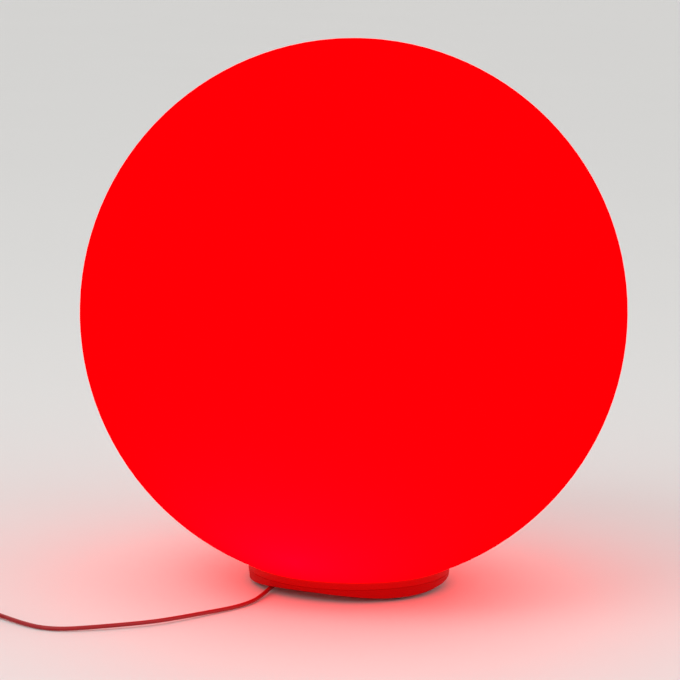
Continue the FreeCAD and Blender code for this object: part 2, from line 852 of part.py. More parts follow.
def board_screws():
    return compound("board_screws", round_the_axis(
        lambda index, x, y: screw("board_screw_%d" % index, x, y, driver_top, True,
                                  S["board_screw_length"], S["board_screw_shank"]),
        S["driver_post_circle"], BOARD_POSTS, POST_ANGLE))


def driver_parts():
    """The larger components on the driver board: their radius or sides, their height and their place."""
    capacitor_radius, capacitor_high = 5.0, 10.2
    capacitor = cylinder("capacitor", capacitor_radius, capacitor_high, 14.0, 20.0, driver_top)
    made = [capacitor]
    for name, side, other, high, x, y in BOARD_BLOCKS:
        made.append(block(name, side, other, high, x, y, driver_top))
    return compound("driver_parts", made)


def wire_connector():
    """The two-way connector that takes the lead's cores."""
    length, width, high = CONNECTOR_SIDES
    side_inset, level_inset = CONNECTOR_INSET
    shell = block("connector_shell", length, width, high, CONNECTOR.x, CONNECTOR.y, driver_top)
    mouth = block("connector_mouth", CONNECTOR_DEPTH + OVERLAP, width - 2.0 * side_inset,
                  high - 2.0 * level_inset, CONNECTOR.x - OVERLAP, CONNECTOR.y + side_inset,
                  driver_top + level_inset)
    return cut("wire_connector", shell, [mouth])


# --- The light unit ---------------------------------------------------------------------------------------

def plate_gasket():
    return turned("plate_gasket", washer(S["hub_inner"] + 1.6, S["unit_radius"], S["hub_top"], plate_low))


def unit_holes(label, wall_low):
    """Cutters for the holes that the light unit's screws go through."""
    return screw_holes(label, S["dome_screw_circle"], S["screw_hole"], wall_low, SCREWS_ROUND, DOME_ANGLE)


def wire_hole(label, wall_low):
    """A cutter for the hole in the middle that the ribbon goes through."""
    return cylinder(label, S["wire_hole"], CUT_TALL, z=wall_low - CUT_BELOW)


def heat_plate():
    disc = cylinder("plate_disc", S["unit_radius"], S["plate_thick"], z=plate_low)
    holes = unit_holes("plate_hole", plate_low)
    return cut("heat_plate", disc, holes + [wire_hole("plate_pass", plate_low)])


def led_board():
    disc = cylinder("led_disc", S["led_board_radius"], S["board_thick"], z=plate_top)
    return cut("led_board", disc, [wire_hole("led_pass", plate_top)])


def leds():
    """The colour light sources, in two rings."""
    made = []
    side = S["led_side"]
    half = side.value / 2.0
    for circle, count in LED_RINGS:
        for index in range(count):
            angle = 360.0 / count * index
            corner = FreeCAD.Rotation(UP, angle).multVec(VEC(circle - half, -half, 0))
            name = "led_%d_%d" % (count, index)
            made.append(block(name, side, side, S["led_thick"], corner.x, corner.y, led_board_top, angle))
    return compound("leds", made)


def diffuser_dome():
    """An opal cap over the light sources, with a flange that its ring holds down."""
    top = flange_high + S["dome_rise"]
    wall = S["dome_wall"]
    foot = S["led_board_radius"] + 0.6
    shoulder = foot - 3.0
    crown = foot - 9.0
    flat = crown - 6.0
    shoulder_drop = 7.0
    crown_drop = 1.4
    body = turned("dome_blank", [
        (foot, plate_top),
        (S["unit_radius"], plate_top),
        (S["unit_radius"], flange_high),
        (foot + wall, flange_high),
        (shoulder + wall, top - shoulder_drop),
        (crown + wall, top - crown_drop),
        (flat, top),
        (0.0, top),
        (0.0, top - wall),
        (flat, top - wall),
        (crown, top - wall - crown_drop),
        (shoulder, top - wall / 2.0 - shoulder_drop),
    ])
    return cut("diffuser_dome", body, unit_holes("dome_hole", plate_top))


def dome_ring():
    inner = S["dome_radius"] + 0.8
    bevel = 0.8
    ring = turned("dome_ring_blank", [
        (inner, flange_high),
        (S["unit_radius"], flange_high),
        (S["unit_radius"], ring_high - bevel),
        (S["unit_radius"] - bevel, ring_high),
        (inner, ring_high),
    ])
    return cut("dome_ring", ring, unit_holes("dome_ring_hole", flange_high))


def dome_screws():
    return compound("dome_screws", round_the_axis(
        lambda index, x, y: screw("dome_screw_%d" % index, x, y, ring_high, True, S["dome_screw_length"]),
        S["dome_screw_circle"], SCREWS_ROUND, DOME_ANGLE))


# --- The lead's entry and the wires inside ------------------------------------------------------------------

def boot_cone(label, at, radius_low, radius_high, length):
    """A cone laid along the lead's exit line at the boot's height."""
    across = VEC(-EXIT_ALONG.y, EXIT_ALONG.x, 0)
    return cone(label, radius_low, radius_high, length, at.x, at.y, S["boot_height"], 90.0, across)


def boot_groove(index):
    """A cutter for one of the grooves round the boot's nose."""
    along = STEM_ALONG + S["boot_rib_start"].value + S["boot_rib_pitch"].value * index
    outside = S["boot_collar"]
    core = S["boot_tip"] - 0.1
    return cut("boot_groove_%d" % index,
               boot_cone("boot_groove_outside_%d" % index, on_exit_line(along), outside, outside,
                         S["boot_rib_gap"]),
               [boot_cone("boot_groove_core_%d" % index, on_exit_line(along - OVERRUN), core, core,
                          S["boot_rib_gap"] + 2.0 * OVERRUN)])


def lead_boot():
    """A right-angled rubber boot: its stem is snapped into the pocket's ceiling, and its nose is tapered."""
    at = on_exit_line(STEM_ALONG)
    height = S["boot_height"]
    stem_radius = S["boot_stem"]
    elbow_drop = S["boot_radius"]
    stem = cylinder("boot_stem", stem_radius, S["pocket_ceiling"] + S["boot_stem_top"] - height,
                    at.x, at.y, height)
    elbow = cone("boot_elbow", S["boot_elbow"], stem_radius, elbow_drop, at.x, at.y, height - elbow_drop)
    collar = cylinder("boot_collar", S["boot_collar"], S["boot_collar_thick"], at.x, at.y,
                      S["pocket_ceiling"] - S["boot_collar_thick"] - 0.05)
    nose = boot_cone("boot_nose", at, S["boot_radius"], S["boot_tip"], S["boot_reach"])
    solid = fuse("boot_moulding", [stem, elbow, collar, nose])
    return cut("lead_boot", solid, [boot_groove(index) for index in range(3)])


def boot_nut():
    """The push-on ring that holds the boot inside the hub."""
    at = on_exit_line(STEM_ALONG)
    low = S["pocket_ceiling"] + S["shelf_thick"]
    outside = cylinder("nut_outside", S["nut_radius"], S["nut_thick"], at.x, at.y, low)
    bore = cylinder("nut_bore", S["boot_stem"] + 0.05, CUT_TALL, at.x, at.y, low - CUT_BELOW)
    return cut("boot_nut", outside, [bore])


def level_section(point, radius, sides):
    """A regular section at the start of a path that rises straight up."""
    ring = []
    for index in range(sides + 1):
        angle = 2.0 * math.pi * index / sides
        ring.append(point + VEC(radius * math.cos(angle), radius * math.sin(angle), 0))
    return Part.makePolygon(ring)


def lead_cores():
    """The lead's two cores, from the top of the boot to the connector."""
    at = on_exit_line(STEM_ALONG)
    low = S["pocket_ceiling"].value + S["boot_stem_top"].value
    rise = 4.0
    middle = CONNECTOR.y + CONNECTOR_SIDES[1] / 2.0
    level = driver_top.value + CONNECTOR_SIDES[2] / 2.0
    shapes = []
    for side in (-1.1, 1.1):
        route = [
            VEC(at.x, at.y + side, low),
            VEC(at.x, at.y + side, low + rise),
            VEC(at.x + 3.0, at.y + side + rise, level + 0.5 + side),
            VEC(CONNECTOR.x - 5.0, middle + side, level),
            VEC(CONNECTOR.x, middle + side, level),
        ]
        path = corner_arcs(route)[0]
        section = level_section(route[0], S["core_radius"].value, CORE_SIDES)
        shapes.append(swept("lead_core", path, section))
    return feature("lead_cores", Part.makeCompound(shapes))


def led_wires():
    """The flat ribbon from the driver board to the board of light sources."""
    start = driver_top.value
    half_width = S["ribbon_width"].value / 2.0
    half_thick = S["ribbon_thick"].value / 2.0
    foot_x = S["wire_hole"].value * 2.0
    pass_x = 1.0
    route = [
        VEC(foot_x, 0, start),
        VEC(foot_x, 0, start + 4.5),
        VEC(foot_x / 2.0, 0, start + 8.5),
        VEC(pass_x, 0, plate_low.value + 0.5),
        VEC(pass_x, 0, led_board_top.value + 1.4),
    ]
    path = corner_arcs(route)[0]
    corners = [(-half_thick, -half_width), (half_thick, -half_width),
               (half_thick, half_width), (-half_thick, half_width), (-half_thick, -half_width)]
    section = Part.makePolygon([route[0] + VEC(x, y, 0) for x, y in corners])
    return feature("led_wires", swept("led_wires", path, section))


# --- The lead, its coil, its tie and its plug -----------------------------------------------------------------

def boot_tip_point():
    tip = on_exit_line(STEM_ALONG + S["boot_reach"].value)
    return VEC(tip.x, tip.y, S["boot_height"].value)


def coil_centre():
    """The coil lies to the left of the lead as it arrives."""
    heading = math.radians(COIL_HEADING + 90.0)
    reach = coil_radius(0.0)
    return COIL_START + VEC(math.cos(heading), math.sin(heading), 0) * reach


def coil_radius(turns):
    """The turns wind in and then out again at a steady rate."""
    return COIL_INNER + COIL_PITCH * abs(turns - COIL_TURNS / 2.0)


def coil_lift(turns):
    """The climb to the upper layer, within the half turn where the spiral reverses."""
    part = min(max((turns - CLIMB_START) / CLIMB_TURNS, 0.0), 1.0)
    return COIL_PITCH * (3.0 * part * part - 2.0 * part * part * part)


def coil_point(turns):
    angle = math.radians(COIL_HEADING - 90.0) + 2.0 * math.pi * turns
    radius = coil_radius(turns)
    return coil_centre() + VEC(radius * math.cos(angle), radius * math.sin(angle), coil_lift(turns))


def coil_tangent(turns):
    step = 0.01
    ahead = coil_point(turns + step)
    return (ahead - coil_point(turns - step)).normalize()


def biarc(start, start_tangent, end, end_tangent):
    """Two arcs that join two points with a given direction at each."""
    chord = end - start
    both = start_tangent + end_tangent
    along = chord.dot(both)
    spread = 2.0 * (1.0 - start_tangent.dot(end_tangent))
    reach = (-along + math.sqrt(along * along + spread * chord.dot(chord))) / spread
    first_corner = start + start_tangent * reach
    last_corner = end - end_tangent * reach
    joint = (first_corner + last_corner) * 0.5
    return [corner_arc(start, first_corner, joint), corner_arc(joint, last_corner, end)]


def corner_arc(start, corner, end):
    """The arc tangent to both sides of a corner at two points equally far from it."""
    middle_chord = (start + end) * 0.5
    half = start.distanceToPoint(end) / 2.0
    depth = corner.distanceToPoint(middle_chord)
    side = math.hypot(half, depth)
    radius = half * side / depth
    sagitta = radius - math.sqrt(radius * radius - half * half)
    return Part.Arc(start, middle_chord + (corner - middle_chord).normalize() * sagitta, end).toShape()


def coil_path():
    """One unbroken path: a short straight, the turns as biarcs, and a short straight."""
    straight = S["lead_width"].value
    knots = [COIL_STEP * index for index in range(int(COIL_TURNS / COIL_STEP) + 1)]
    points = [coil_point(turns) for turns in knots]
    tangents = [coil_tangent(turns) for turns in knots]
    tangents[0].z = 0.0
    edges = [Part.LineSegment(points[0] - tangents[0] * straight, points[0]).toShape()]
    for index in range(len(knots) - 1):
        edges += biarc(points[index], tangents[index], points[index + 1], tangents[index + 1])
    coil_end = points[-1] + tangents[-1] * straight
    edges.append(Part.LineSegment(points[-1], coil_end).toShape())
    return Part.Wire(edges), points[0] - tangents[0] * straight, tangents[0], coil_end, tangents[-1]


def least_gap(path, width):
    """The least clear distance between stretches of the path more than half a turn apart."""
    count = 900
    points = path.discretize(count)
    step = path.Length / (count - 1)
    apart = int(math.pi * COIL_INNER / step)
    least = min((points[i] - points[j]).Length
                for i in range(0, count, 3) for j in range(i + apart, count))
    return least - width


def lead_nodes():
    """The free lead, the coil, the tie and the plug's pieces."""
    width = S["lead_width"].value
    path, coil_begin, coil_way, coil_end, end_way = coil_path()
    coil_section = sided_section(coil_begin, coil_way, width / 2.0, LEAD_SIDES)
    coil = swept("lead_coil", path, coil_section)
    print("lead_coil: least gap to itself %.2f" % least_gap(path, width))
    route = [boot_tip_point()] + [VEC(*point) for point in LEAD_ROUTE] + [coil_begin]
    lead_path, radii = corner_arcs(route)
    runs = [a.distanceToPoint(b) for a, b in zip(route, route[1:])]
    print("lead: radii " + " ".join("%.0f" % radius for radius in radii))
    print("lead: runs " + " ".join("%.0f" % run for run in runs))
    start_way = (route[1] - route[0]).normalize()
    lead = swept("lead", lead_path, sided_section(route[0], start_way, width / 2.0, LEAD_SIDES))
    return [feature("lead", lead), feature("lead_coil", coil), coil_tie()] + plug(coil_end, end_way)


def coil_tie():
    """A flat band round the bundle of turns."""
    radii = [coil_radius(TIE_TURN + turn) for turn in range(int(COIL_TURNS))]
    half = S["lead_width"].value / 2.0
    inner = min(radii) - half - TIE_GAP
    outer = max(radii) + half + TIE_GAP
    centre = coil_centre()
    low = centre.z - half - TIE_GAP
    high = centre.z + COIL_PITCH + half + TIE_GAP
    angle = COIL_HEADING - 90.0 + 360.0 * TIE_TURN

    def band(name, grow, width):
        start = FreeCAD.Rotation(UP, angle).multVec(VEC(inner - grow, -width / 2.0, 0))
        return block(name, outer - inner + 2.0 * grow, width, high - low + 2.0 * grow,
                     centre.x + start.x, centre.y + start.y, low - grow, angle)

    return cut("coil_tie", band("tie_outside", TIE_THICK, TIE_WIDTH),
               [band("tie_inside", 0.0, TIE_WIDTH + 2.0 * OVERRUN)])


def along_way(body, start, way):
    """Lay a body that was turned about Z along a level direction, from a point."""
    body.Placement = FreeCAD.Placement(start, FreeCAD.Rotation(UP, way))


def plug(start, way):
    """A moulded barrel plug: grip with its ribbed relief, metal barrel and insulated core."""
    way = VEC(way.x, way.y, 0).normalize()
    relief = S["plug_relief"]
    grip = relief + S["plug_grip"]
    sleeve = S["lead_width"] / 2.0 + 0.8
    rib, rib_depth, shoulder, bevel = 1.4, 0.7, 3.0, 0.8
    outline = [(0.0, 0.0), (sleeve, 0.0)]
    for index in range(3):
        ring_radius = sleeve + 0.4 + 0.5 * index
        low = relief * (0.2 + 0.25 * index)
        outline += [(ring_radius, low), (ring_radius, low + rib), (ring_radius - rib_depth, low + rib),
                    (ring_radius - rib_depth, low + rib + OVERRUN)]
    outline += [
        (S["plug_radius"] - rib, relief),
        (S["plug_radius"], relief + shoulder),
        (S["plug_radius"], grip - bevel),
        (S["plug_radius"] - bevel, grip),
        (0.0, grip),
    ]
    body = turned("plug_body", outline)
    end = grip + S["barrel_length"]
    bevel = S["barrel_bevel"]
    bore = S["barrel_bore"] + 0.5
    barrel = turned("plug_barrel", [
        (bore, grip),
        (S["barrel_radius"], grip),
        (S["barrel_radius"], end - bevel),
        (S["barrel_radius"] - bevel, end),
        (bore, end),
    ])
    core = turned("plug_core", washer(S["barrel_bore"], S["barrel_bore"] + S["core_wall"],
                                      grip, end + S["core_proud"]))
    for piece in (body, barrel, core):
        along_way(piece, start, way)
    return [body, barrel, core]


# --- Build, check and write -------------------------------------------------------------------------------------

def build():
    pieces = [
        globe_shell(), globe_collar(), mouth_gasket(), clamp_ring(), collar_screws(),
        base_foot(), base_seal(), rubber_feet(),
        mode_button(), button_seal(), tact_switch(),
        driver_board(), driver_parts(), board_screws(), wire_connector(), lead_cores(),
        plate_gasket(), heat_plate(), led_board(), leds(), led_wires(),
        diffuser_dome(), dome_ring(), dome_screws(),
        lead_boot(), boot_nut(),
    ]
    pieces += lead_nodes()
    doc.recompute()
    return pieces


def check(pieces):
    """Stop if anything failed to build."""
    for item in doc.Objects:
        if "Invalid" in item.State or "Error" in item.State:
            raise RuntimeError("%s failed: %s" % (item.Label, item.State))
    for piece in pieces:
        shape = piece.Shape
        if shape.isNull() or not shape.isValid():
            raise RuntimeError("%s has no valid shape" % piece.Label)
        for solid in shape.Solids:
            if solid.Volume <= 0:
                raise RuntimeError("%s is inside out" % piece.Label)
        print("%-16s solids %2d  volume %10.1f  z %7.2f to %7.2f" % (
            piece.Label, len(shape.Solids), shape.Volume, shape.BoundBox.ZMin, shape.BoundBox.ZMax))


def write(pieces):
    os.makedirs("parts", exist_ok=True)
    for piece in pieces:
        piece.Shape.exportStep("parts/%s.step" % piece.Label)


made_pieces = build()
check(made_pieces)
write(made_pieces)
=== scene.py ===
import math

import bmesh
import bpy
import numpy as np
from bpy.props import FloatProperty, FloatVectorProperty, PointerProperty
from mathutils import Matrix, Vector


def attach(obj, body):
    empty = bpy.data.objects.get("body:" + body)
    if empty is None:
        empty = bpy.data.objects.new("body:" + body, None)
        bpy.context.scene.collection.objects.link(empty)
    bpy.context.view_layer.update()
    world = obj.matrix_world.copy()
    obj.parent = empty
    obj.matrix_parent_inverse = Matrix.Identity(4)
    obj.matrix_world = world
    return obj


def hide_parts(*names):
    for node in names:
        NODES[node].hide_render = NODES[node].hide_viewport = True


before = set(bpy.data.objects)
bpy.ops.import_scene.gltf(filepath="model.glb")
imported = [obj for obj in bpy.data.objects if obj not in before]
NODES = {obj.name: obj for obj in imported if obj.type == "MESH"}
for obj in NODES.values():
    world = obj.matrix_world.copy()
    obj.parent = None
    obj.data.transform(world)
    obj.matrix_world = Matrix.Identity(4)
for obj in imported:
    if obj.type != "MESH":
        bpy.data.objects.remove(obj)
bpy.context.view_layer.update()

bl_info = {
    "name": "Garden Globe Light",
    "version": (1, 0, 0),
    "blender": (4, 5, 0),
    "location": "3D View > Sidebar > Globe Light",
    "description": "Finishes the pieces of a garden globe light and sets it on a pale stage",
    "category": "Object",
}

# Metres throughout. The lamp stands on z = 0, and its axis is Z. The photograph looks along +Y.
MM = 0.001
UP = np.array((0.0, 0.0, 1.0))

# The level line on which the lead leaves: its heading, how far it passes from the axis, and how far
# along it the boot's stem and tip are.
EXIT_HEADING = math.radians(-135.8)
EXIT_SIDE = 12.4 * MM
BOOT_STEM = 27.0 * MM
BOOT_TIP = 45.0 * MM

# Heights of that line and of the ceiling of the pocket that takes the boot.
BOOT_LEVEL = 6.0 * MM
POCKET_CEILING = 12.4 * MM

# The lead's route from the boot's tip to the coil.
LEAD_ROUTE = np.array([
    (-44.8, -26.3, 6.0),
    (-51.2, -32.4, 4.8),
    (-57.2, -43.2, 3.2),
    (-61.7, -59.8, 2.4),
    (-68.1, -79.9, 2.0),
    (-80.7, -99.0, 1.9),
    (-98.2, -115.7, 2.2),
    (-115.7, -133.5, 2.8),
    (-134.3, -149.5, 3.1),
    (-156.5, -159.8, 2.9),
    (-178.7, -167.5, 2.5),
    (-197.8, -171.4, 1.9),
    (-213.2, -167.6, 1.8),
    (-225.8, -156.8, 1.9),
    (-237.9, -143.6, 2.1),
    (-248.0, -131.5, 2.2),
]) * MM

# The coil: where its first turn starts, which way the lead runs there, and how it winds. It rises to its
# upper layer between the two turns of the climb, has a straight before and after it, and is drawn with
# this many steps to a turn.
COIL_START = np.array((-255.4, -120.2, 2.45)) * MM
COIL_HEADING = math.radians(131.0)
COIL_INNER = 10.9 * MM
COIL_PITCH = 3.45 * MM
COIL_TURNS = 6.5
COIL_CLIMB = 3.0, 3.5
COIL_STRAIGHT = 3.0 * MM
COIL_STEPS = 24

# The coil's tie: the part of a turn at which it goes round, how far it stands off the lead, how it bends
# round the bundle and how soft its edges are.
TIE_TURN = 0.75
TIE_GAP = 0.12 * MM
TIE_BEND = 2.0 * MM
TIE_EDGE = 0.2 * MM

# Three pads stand on a circle under the rim's low lobes.
PAD_CIRCLE = 63.0 * MM
PAD_COUNT = 3
PAD_ANGLE = math.radians(-57.0)

# The glow is rosiest about this point low on the ball's front, and fades to plain red at the reach.
GLOW_CENTRE = (-39.0 * MM, -109.0 * MM, 38.0 * MM)
GLOW_REACH = 474.0 * MM
GLOW_FALL = 8.0

# Painted light: emission on the collar stands in for the ball's light on its top edge, and fades between
# these heights. The foot is further off and gets a share of the collar's painted glow.
COLLAR_PAINTED_LIGHT_FROM = 13.2 * MM
COLLAR_TOP = 15.4 * MM
COLLAR_PAINTED_EDGE_LIGHT = 0.3
FOOT_PAINTED_GLOW_SHARE = 0.8

# Where the camera stands, the width of its sensor in millimetres, and the tone of the sky's light.
CAMERA_PLACE = (0.0, -2.400, 0.567)
CAMERA_SENSOR = 36.0
SKY_TONE = (1.0, 0.995, 0.985)

# Colours of the metal and of the small pieces that are out of sight.
NICKEL = (0.78, 0.77, 0.75)
ZINC = (0.60, 0.60, 0.61)
ALUMINIUM = (0.78, 0.79, 0.80)
TINNED = (0.55, 0.55, 0.56)
COPPER_TRACK = (0.03, 0.24, 0.10)
BARREL_CORE = (0.02, 0.02, 0.022)
SWITCH_BLACK = (0.05, 0.05, 0.052)
PACKAGE_DARK = (0.018, 0.018, 0.02)
PACKAGE_PALE = (0.035, 0.035, 0.038)
CONNECTOR_CREAM = (0.80, 0.78, 0.71)
WIRE_GREY = (0.62, 0.60, 0.58)
RIBBON_GREY = (0.62, 0.62, 0.63)
RIBBON_LINE = (0.25, 0.25, 0.27)
PHOSPHOR = (0.90, 0.80, 0.58)
PHOSPHOR_PALE = (0.95, 0.90, 0.80)


# --- Sizes and colours that a user would change ------------------------------------------------------

def length(name, description, default):
    return FloatProperty(name=name, description=description, default=default, min=0.0, unit="LENGTH")


def colour(name, description, default):
    return FloatVectorProperty(name=name, description=description, default=default, size=3,
                               min=0.0, max=1.0, subtype="COLOR")


class GLOBELIGHT_PG_finish(bpy.types.PropertyGroup):
    """Colours of the lamp's finishes."""
    # Painted red light: the ball's colour is red, which stands in for its own red glow shining through the
    # shell.
    ball: colour("Ball", "Colour of the opal ball by day", (0.88, 0.0, 0.0006))
    glow: colour("Glow", "Colour of the light that shines through the ball", (1.0, 0.0, 0.001))
    glow_low: colour("Low Glow", "Colour of the light near the light unit", (1.0, 0.0, 0.0177))
    glow_strength: FloatProperty(name="Glow Strength", description="How brightly the ball shines",
                                 default=1.05, min=0.0)
    # Painted red light and shade: the collar and foot are red for the ball's red light on them, and the foot
    # is darker for the shade that falls on it below the collar.
    collar: colour("Collar", "Colour of the band under the ball", (0.46, 0.0015, 0.002))
    foot: colour("Foot", "Colour of the wavy foot", (0.405, 0.0015, 0.002))
    # Painted glow: an emission on the collar and foot that stands in for the ball's light on the base.
    base_painted_glow: FloatProperty(name="Base Light", description="Light of the ball that comes through the base",
                            default=0.11, min=0.0)
    # Painted red light and shade: the lead and plug are a darker red that stands in for the ball's red light
    # on a sheath whose seen side is in shade.
    lead: colour("Lead", "Colour of the lead's sheath", (0.33, 0.006, 0.009))
    plug: colour("Plug", "Colour of the plug's grip", (0.33, 0.006, 0.009))
    tie: colour("Tie", "Colour of the coil's tie", (0.07, 0.07, 0.07))
    rubber: colour("Rubber", "Colour of the seals", (0.045, 0.045, 0.047))
    pad: colour("Pads", "Colour of the rubber feet", (0.15, 0.15, 0.155))
    button: colour("Button", "Colour of the button", (0.60, 0.60, 0.62))
    moulding: colour("Mouldings", "Colour of the white mouldings inside", (0.84, 0.835, 0.82))
    board: colour("Driver Board", "Colour of the driver board", (0.016, 0.17, 0.065))
    lamp_board: colour("Lamp Board", "Colour of the board of light sources", (0.88, 0.88, 0.86))


class GLOBELIGHT_PG_sizes(bpy.types.PropertyGroup):
    """Sizes of the pieces that this file models."""
    lead_width: length("Lead Width", "Thickness of the lead", 3.0 * MM)
    boot_radius: length("Boot Radius", "Radius of the boot's nose at its root", 3.4 * MM)
    boot_tip: length("Boot Tip", "Radius of the boot's nose at its tip", 2.2 * MM)
    plug_relief: length("Plug Relief", "Length of the plug's ribbed relief", 13.0 * MM)
    plug_grip: length("Plug Grip", "Length of the plug's grip", 20.0 * MM)
    plug_radius: length("Plug Radius", "Radius of the plug's grip", 5.4 * MM)
    pad_radius: length("Pad Radius", "Radius of a rubber foot", 4.9 * MM)
    pad_height: length("Pad Height", "Height of a rubber foot", 3.8 * MM)
    tie_width: length("Tie Width", "Width of the coil's tie", 4.0 * MM)
    tie_thick: length("Tie Thickness", "Thickness of the coil's tie", 0.7 * MM)


class GLOBELIGHT_PG_stage(bpy.types.PropertyGroup):
    """The floor, the lights and the camera."""
    floor: colour("Floor", "Colour of the floor", (0.78, 0.775, 0.765))
    backdrop: colour("Backdrop", "Colour behind the floor's edge", (0.93, 0.925, 0.915))
    sky_strength: FloatProperty(name="Sky Strength", description="Light from all round",
                                default=0.8, min=0.0)
    key_power: FloatProperty(name="Key Light", description="Power of the large soft light",
                             default=21.0, min=0.0, unit="POWER")
    fill_power: FloatProperty(name="Fill Light", description="Power of the light from the right",
                              default=7.0, min=0.0, unit="POWER")
    lens: FloatProperty(name="Lens", description="Focal length of the camera", default=175.5,
                        min=1.0, unit="CAMERA")
    pitch: FloatProperty(name="Pitch", description="How far the camera looks down",
                         default=math.radians(9.157), subtype="ANGLE")
    heading: FloatProperty(name="Heading", description="How far the camera turns to the left",
                           default=math.radians(0.2296), subtype="ANGLE")
    roll: FloatProperty(name="Roll", description="How far the camera tilts",
                        default=math.radians(1.0), subtype="ANGLE")


class GLOBELIGHT_PG_lamp(bpy.types.PropertyGroup):
    """All settings of the lamp."""
    finish: PointerProperty(type=GLOBELIGHT_PG_finish)
    sizes: PointerProperty(type=GLOBELIGHT_PG_sizes)
    stage: PointerProperty(type=GLOBELIGHT_PG_stage)


def settings():
    return bpy.context.scene.globe_light


# --- Surfaces worked out with numpy ------------------------------------------------------------------

def all_round(count):
    """Angles at even steps over a whole turn."""
    return np.arange(count) * (2 * math.pi / count)


def eased(part):
    """A part of 0 to 1 that starts and ends level: p p (3 - 2 p)."""
    return part * part * (3 - 2 * part)


def rippled(part, count):
    """The square of a sine with this many humps between 0 and 1, and 0 outside."""
    return np.where((part > 0) & (part < 1), np.sin(part * count * math.pi) ** 2, 0.0)


def grid_quads(rows, columns, close_rows=False):
    """Quads between neighbouring points of a grid. Each row closes on itself, and the last row may join
    the first."""
    row = np.arange(rows if close_rows else rows - 1)[:, None]
    column = np.arange(columns)[None, :]
    row_on = (row + 1) % rows
    column_on = (column + 1) % columns
    corners = (row * columns + column, row * columns + column_on,
               row_on * columns + column_on, row_on * columns + column)
    return np.stack(np.broadcast_arrays(*corners), axis=-1).reshape(-1, 4)


def outward(points, quads):
    """Turn every face round if the closed shape's signed volume is negative."""
    a, b, c, d = (points[quads[:, index]] for index in range(4))
    volume = np.einsum("ij,ij->", a, np.cross(b, c)) + np.einsum("ij,ij->", a, np.cross(c, d))
    return points, (quads if volume > 0 else quads[:, ::-1])


def oblong(half_x, half_y):
    """The four corners of an oblong about the origin."""
    return [(-half_x, -half_y), (half_x, -half_y), (half_x, half_y), (-half_x, half_y)]


def rounded(corners, reach, steps=4, closed=True):
    """Each corner becomes a curve (1-t)^2 A + 2t(1-t) C + t^2 B, which leaves its first side at A and
    joins its second side at B. Both are the reach away from the corner C, or just under half of a side
    that is too short for it."""
    half = 0.49
    corners = np.asarray(corners, float)
    before = np.roll(corners, 1, axis=0)
    after = np.roll(corners, -1, axis=0)
    back = np.linalg.norm(before - corners, axis=1, keepdims=True)
    ahead = np.linalg.norm(after - corners, axis=1, keepdims=True)
    first = corners + (before - corners) / back * np.minimum(reach, back * half)
    last = corners + (after - corners) / ahead * np.minimum(reach, ahead * half)
    part = np.linspace(0.0, 1.0, steps + 1)[None, :, None]
    curve = ((1 - part) ** 2 * first[:, None] + 2 * part * (1 - part) * corners[:, None]
             + part ** 2 * last[:, None])
    points = curve.reshape(-1, corners.shape[1])
    if closed:
        return points
    return np.concatenate([corners[:1], points[steps + 1:-(steps + 1)], corners[-1:]])


def turned(profile, columns):
    """A closed profile of radius r and height z turned about Z: (r cos a, r sin a, z)."""
    angle = all_round(columns)
    radius, height = profile[:, 0:1], profile[:, 1:2]
    points = np.stack([radius * np.cos(angle), radius * np.sin(angle),
                       height + 0 * angle], axis=-1).reshape(-1, 3)
    return outward(points, grid_quads(len(profile), columns, close_rows=True))


def swept_loop(path, outline, across):
    """An outline of offsets (n, w) carried round a closed flat path: each point is the path's point plus
    n times the path's outward normal plus w times the direction across it."""
    way = np.roll(path, -1, axis=0) - np.roll(path, 1, axis=0)
    way /= np.linalg.norm(way, axis=1, keepdims=True)
    normal = np.cross(way, across)
    points = (path[:, None] + outline[None, :, 0:1] * normal[:, None]
              + outline[None, :, 1:2] * across).reshape(-1, 3)
    return outward(points, grid_quads(len(path), len(outline), close_rows=True))


def slab(half_long, half_wide, thick, corner, bevel):
    """A flat block with rounded corners and softened edges: rings of its rounded outline, drawn in by
    1 - cos at the top and bottom edge while their height turns by sin. The first and the last ring are
    the middles of its two faces."""
    outline = rounded(oblong(half_long, half_wide), corner, 6)
    turn = np.linspace(0.0, math.pi / 2, 5)
    inset = bevel * (1 - np.cos(turn))
    lift = bevel * (1 - np.sin(turn))
    rings = 1 - np.concatenate([inset[::-1], inset])[:, None] / np.array((half_long, half_wide))
    scale = np.pad(rings, ((1, 1), (0, 0)))
    height = np.concatenate([[0.0], lift[::-1], thick - lift, [thick]])
    flat = outline[None] * scale[:, None]
    points = np.concatenate([flat, height[:, None, None] + 0 * flat[..., :1]], axis=-1)
    return outward(points.reshape(-1, 3), grid_quads(len(height), len(outline), close_rows=True))


def placed(shape, origin, x_way, y_way, z_way):
    """A shape whose own X, Y and Z run along three given directions from an origin."""
    points, quads = shape
    return outward(np.asarray(origin) + points @ np.array((x_way, y_way, z_way)), quads)


def laid(shape, start, heading):
    """A shape that was turned about Z, laid level: its Z runs along the heading, and its X points up."""
    way, side = level_way(heading)
    return placed(shape, start, UP, side, way)


def level_way(heading):
    """The level direction of a heading, and the direction to its left."""
    way = np.array((math.cos(heading), math.sin(heading), 0.0))
    return way, np.array((-way[1], way[0], 0.0))


def joined(shapes):
    """Several shapes as one array of points and one of quads."""
    starts = np.cumsum([0] + [len(points) for points, quads in shapes[:-1]])
    points = np.concatenate([points for points, quads in shapes])
    quads = np.concatenate([quads + start for (_, quads), start in zip(shapes, starts)])
    return points, quads


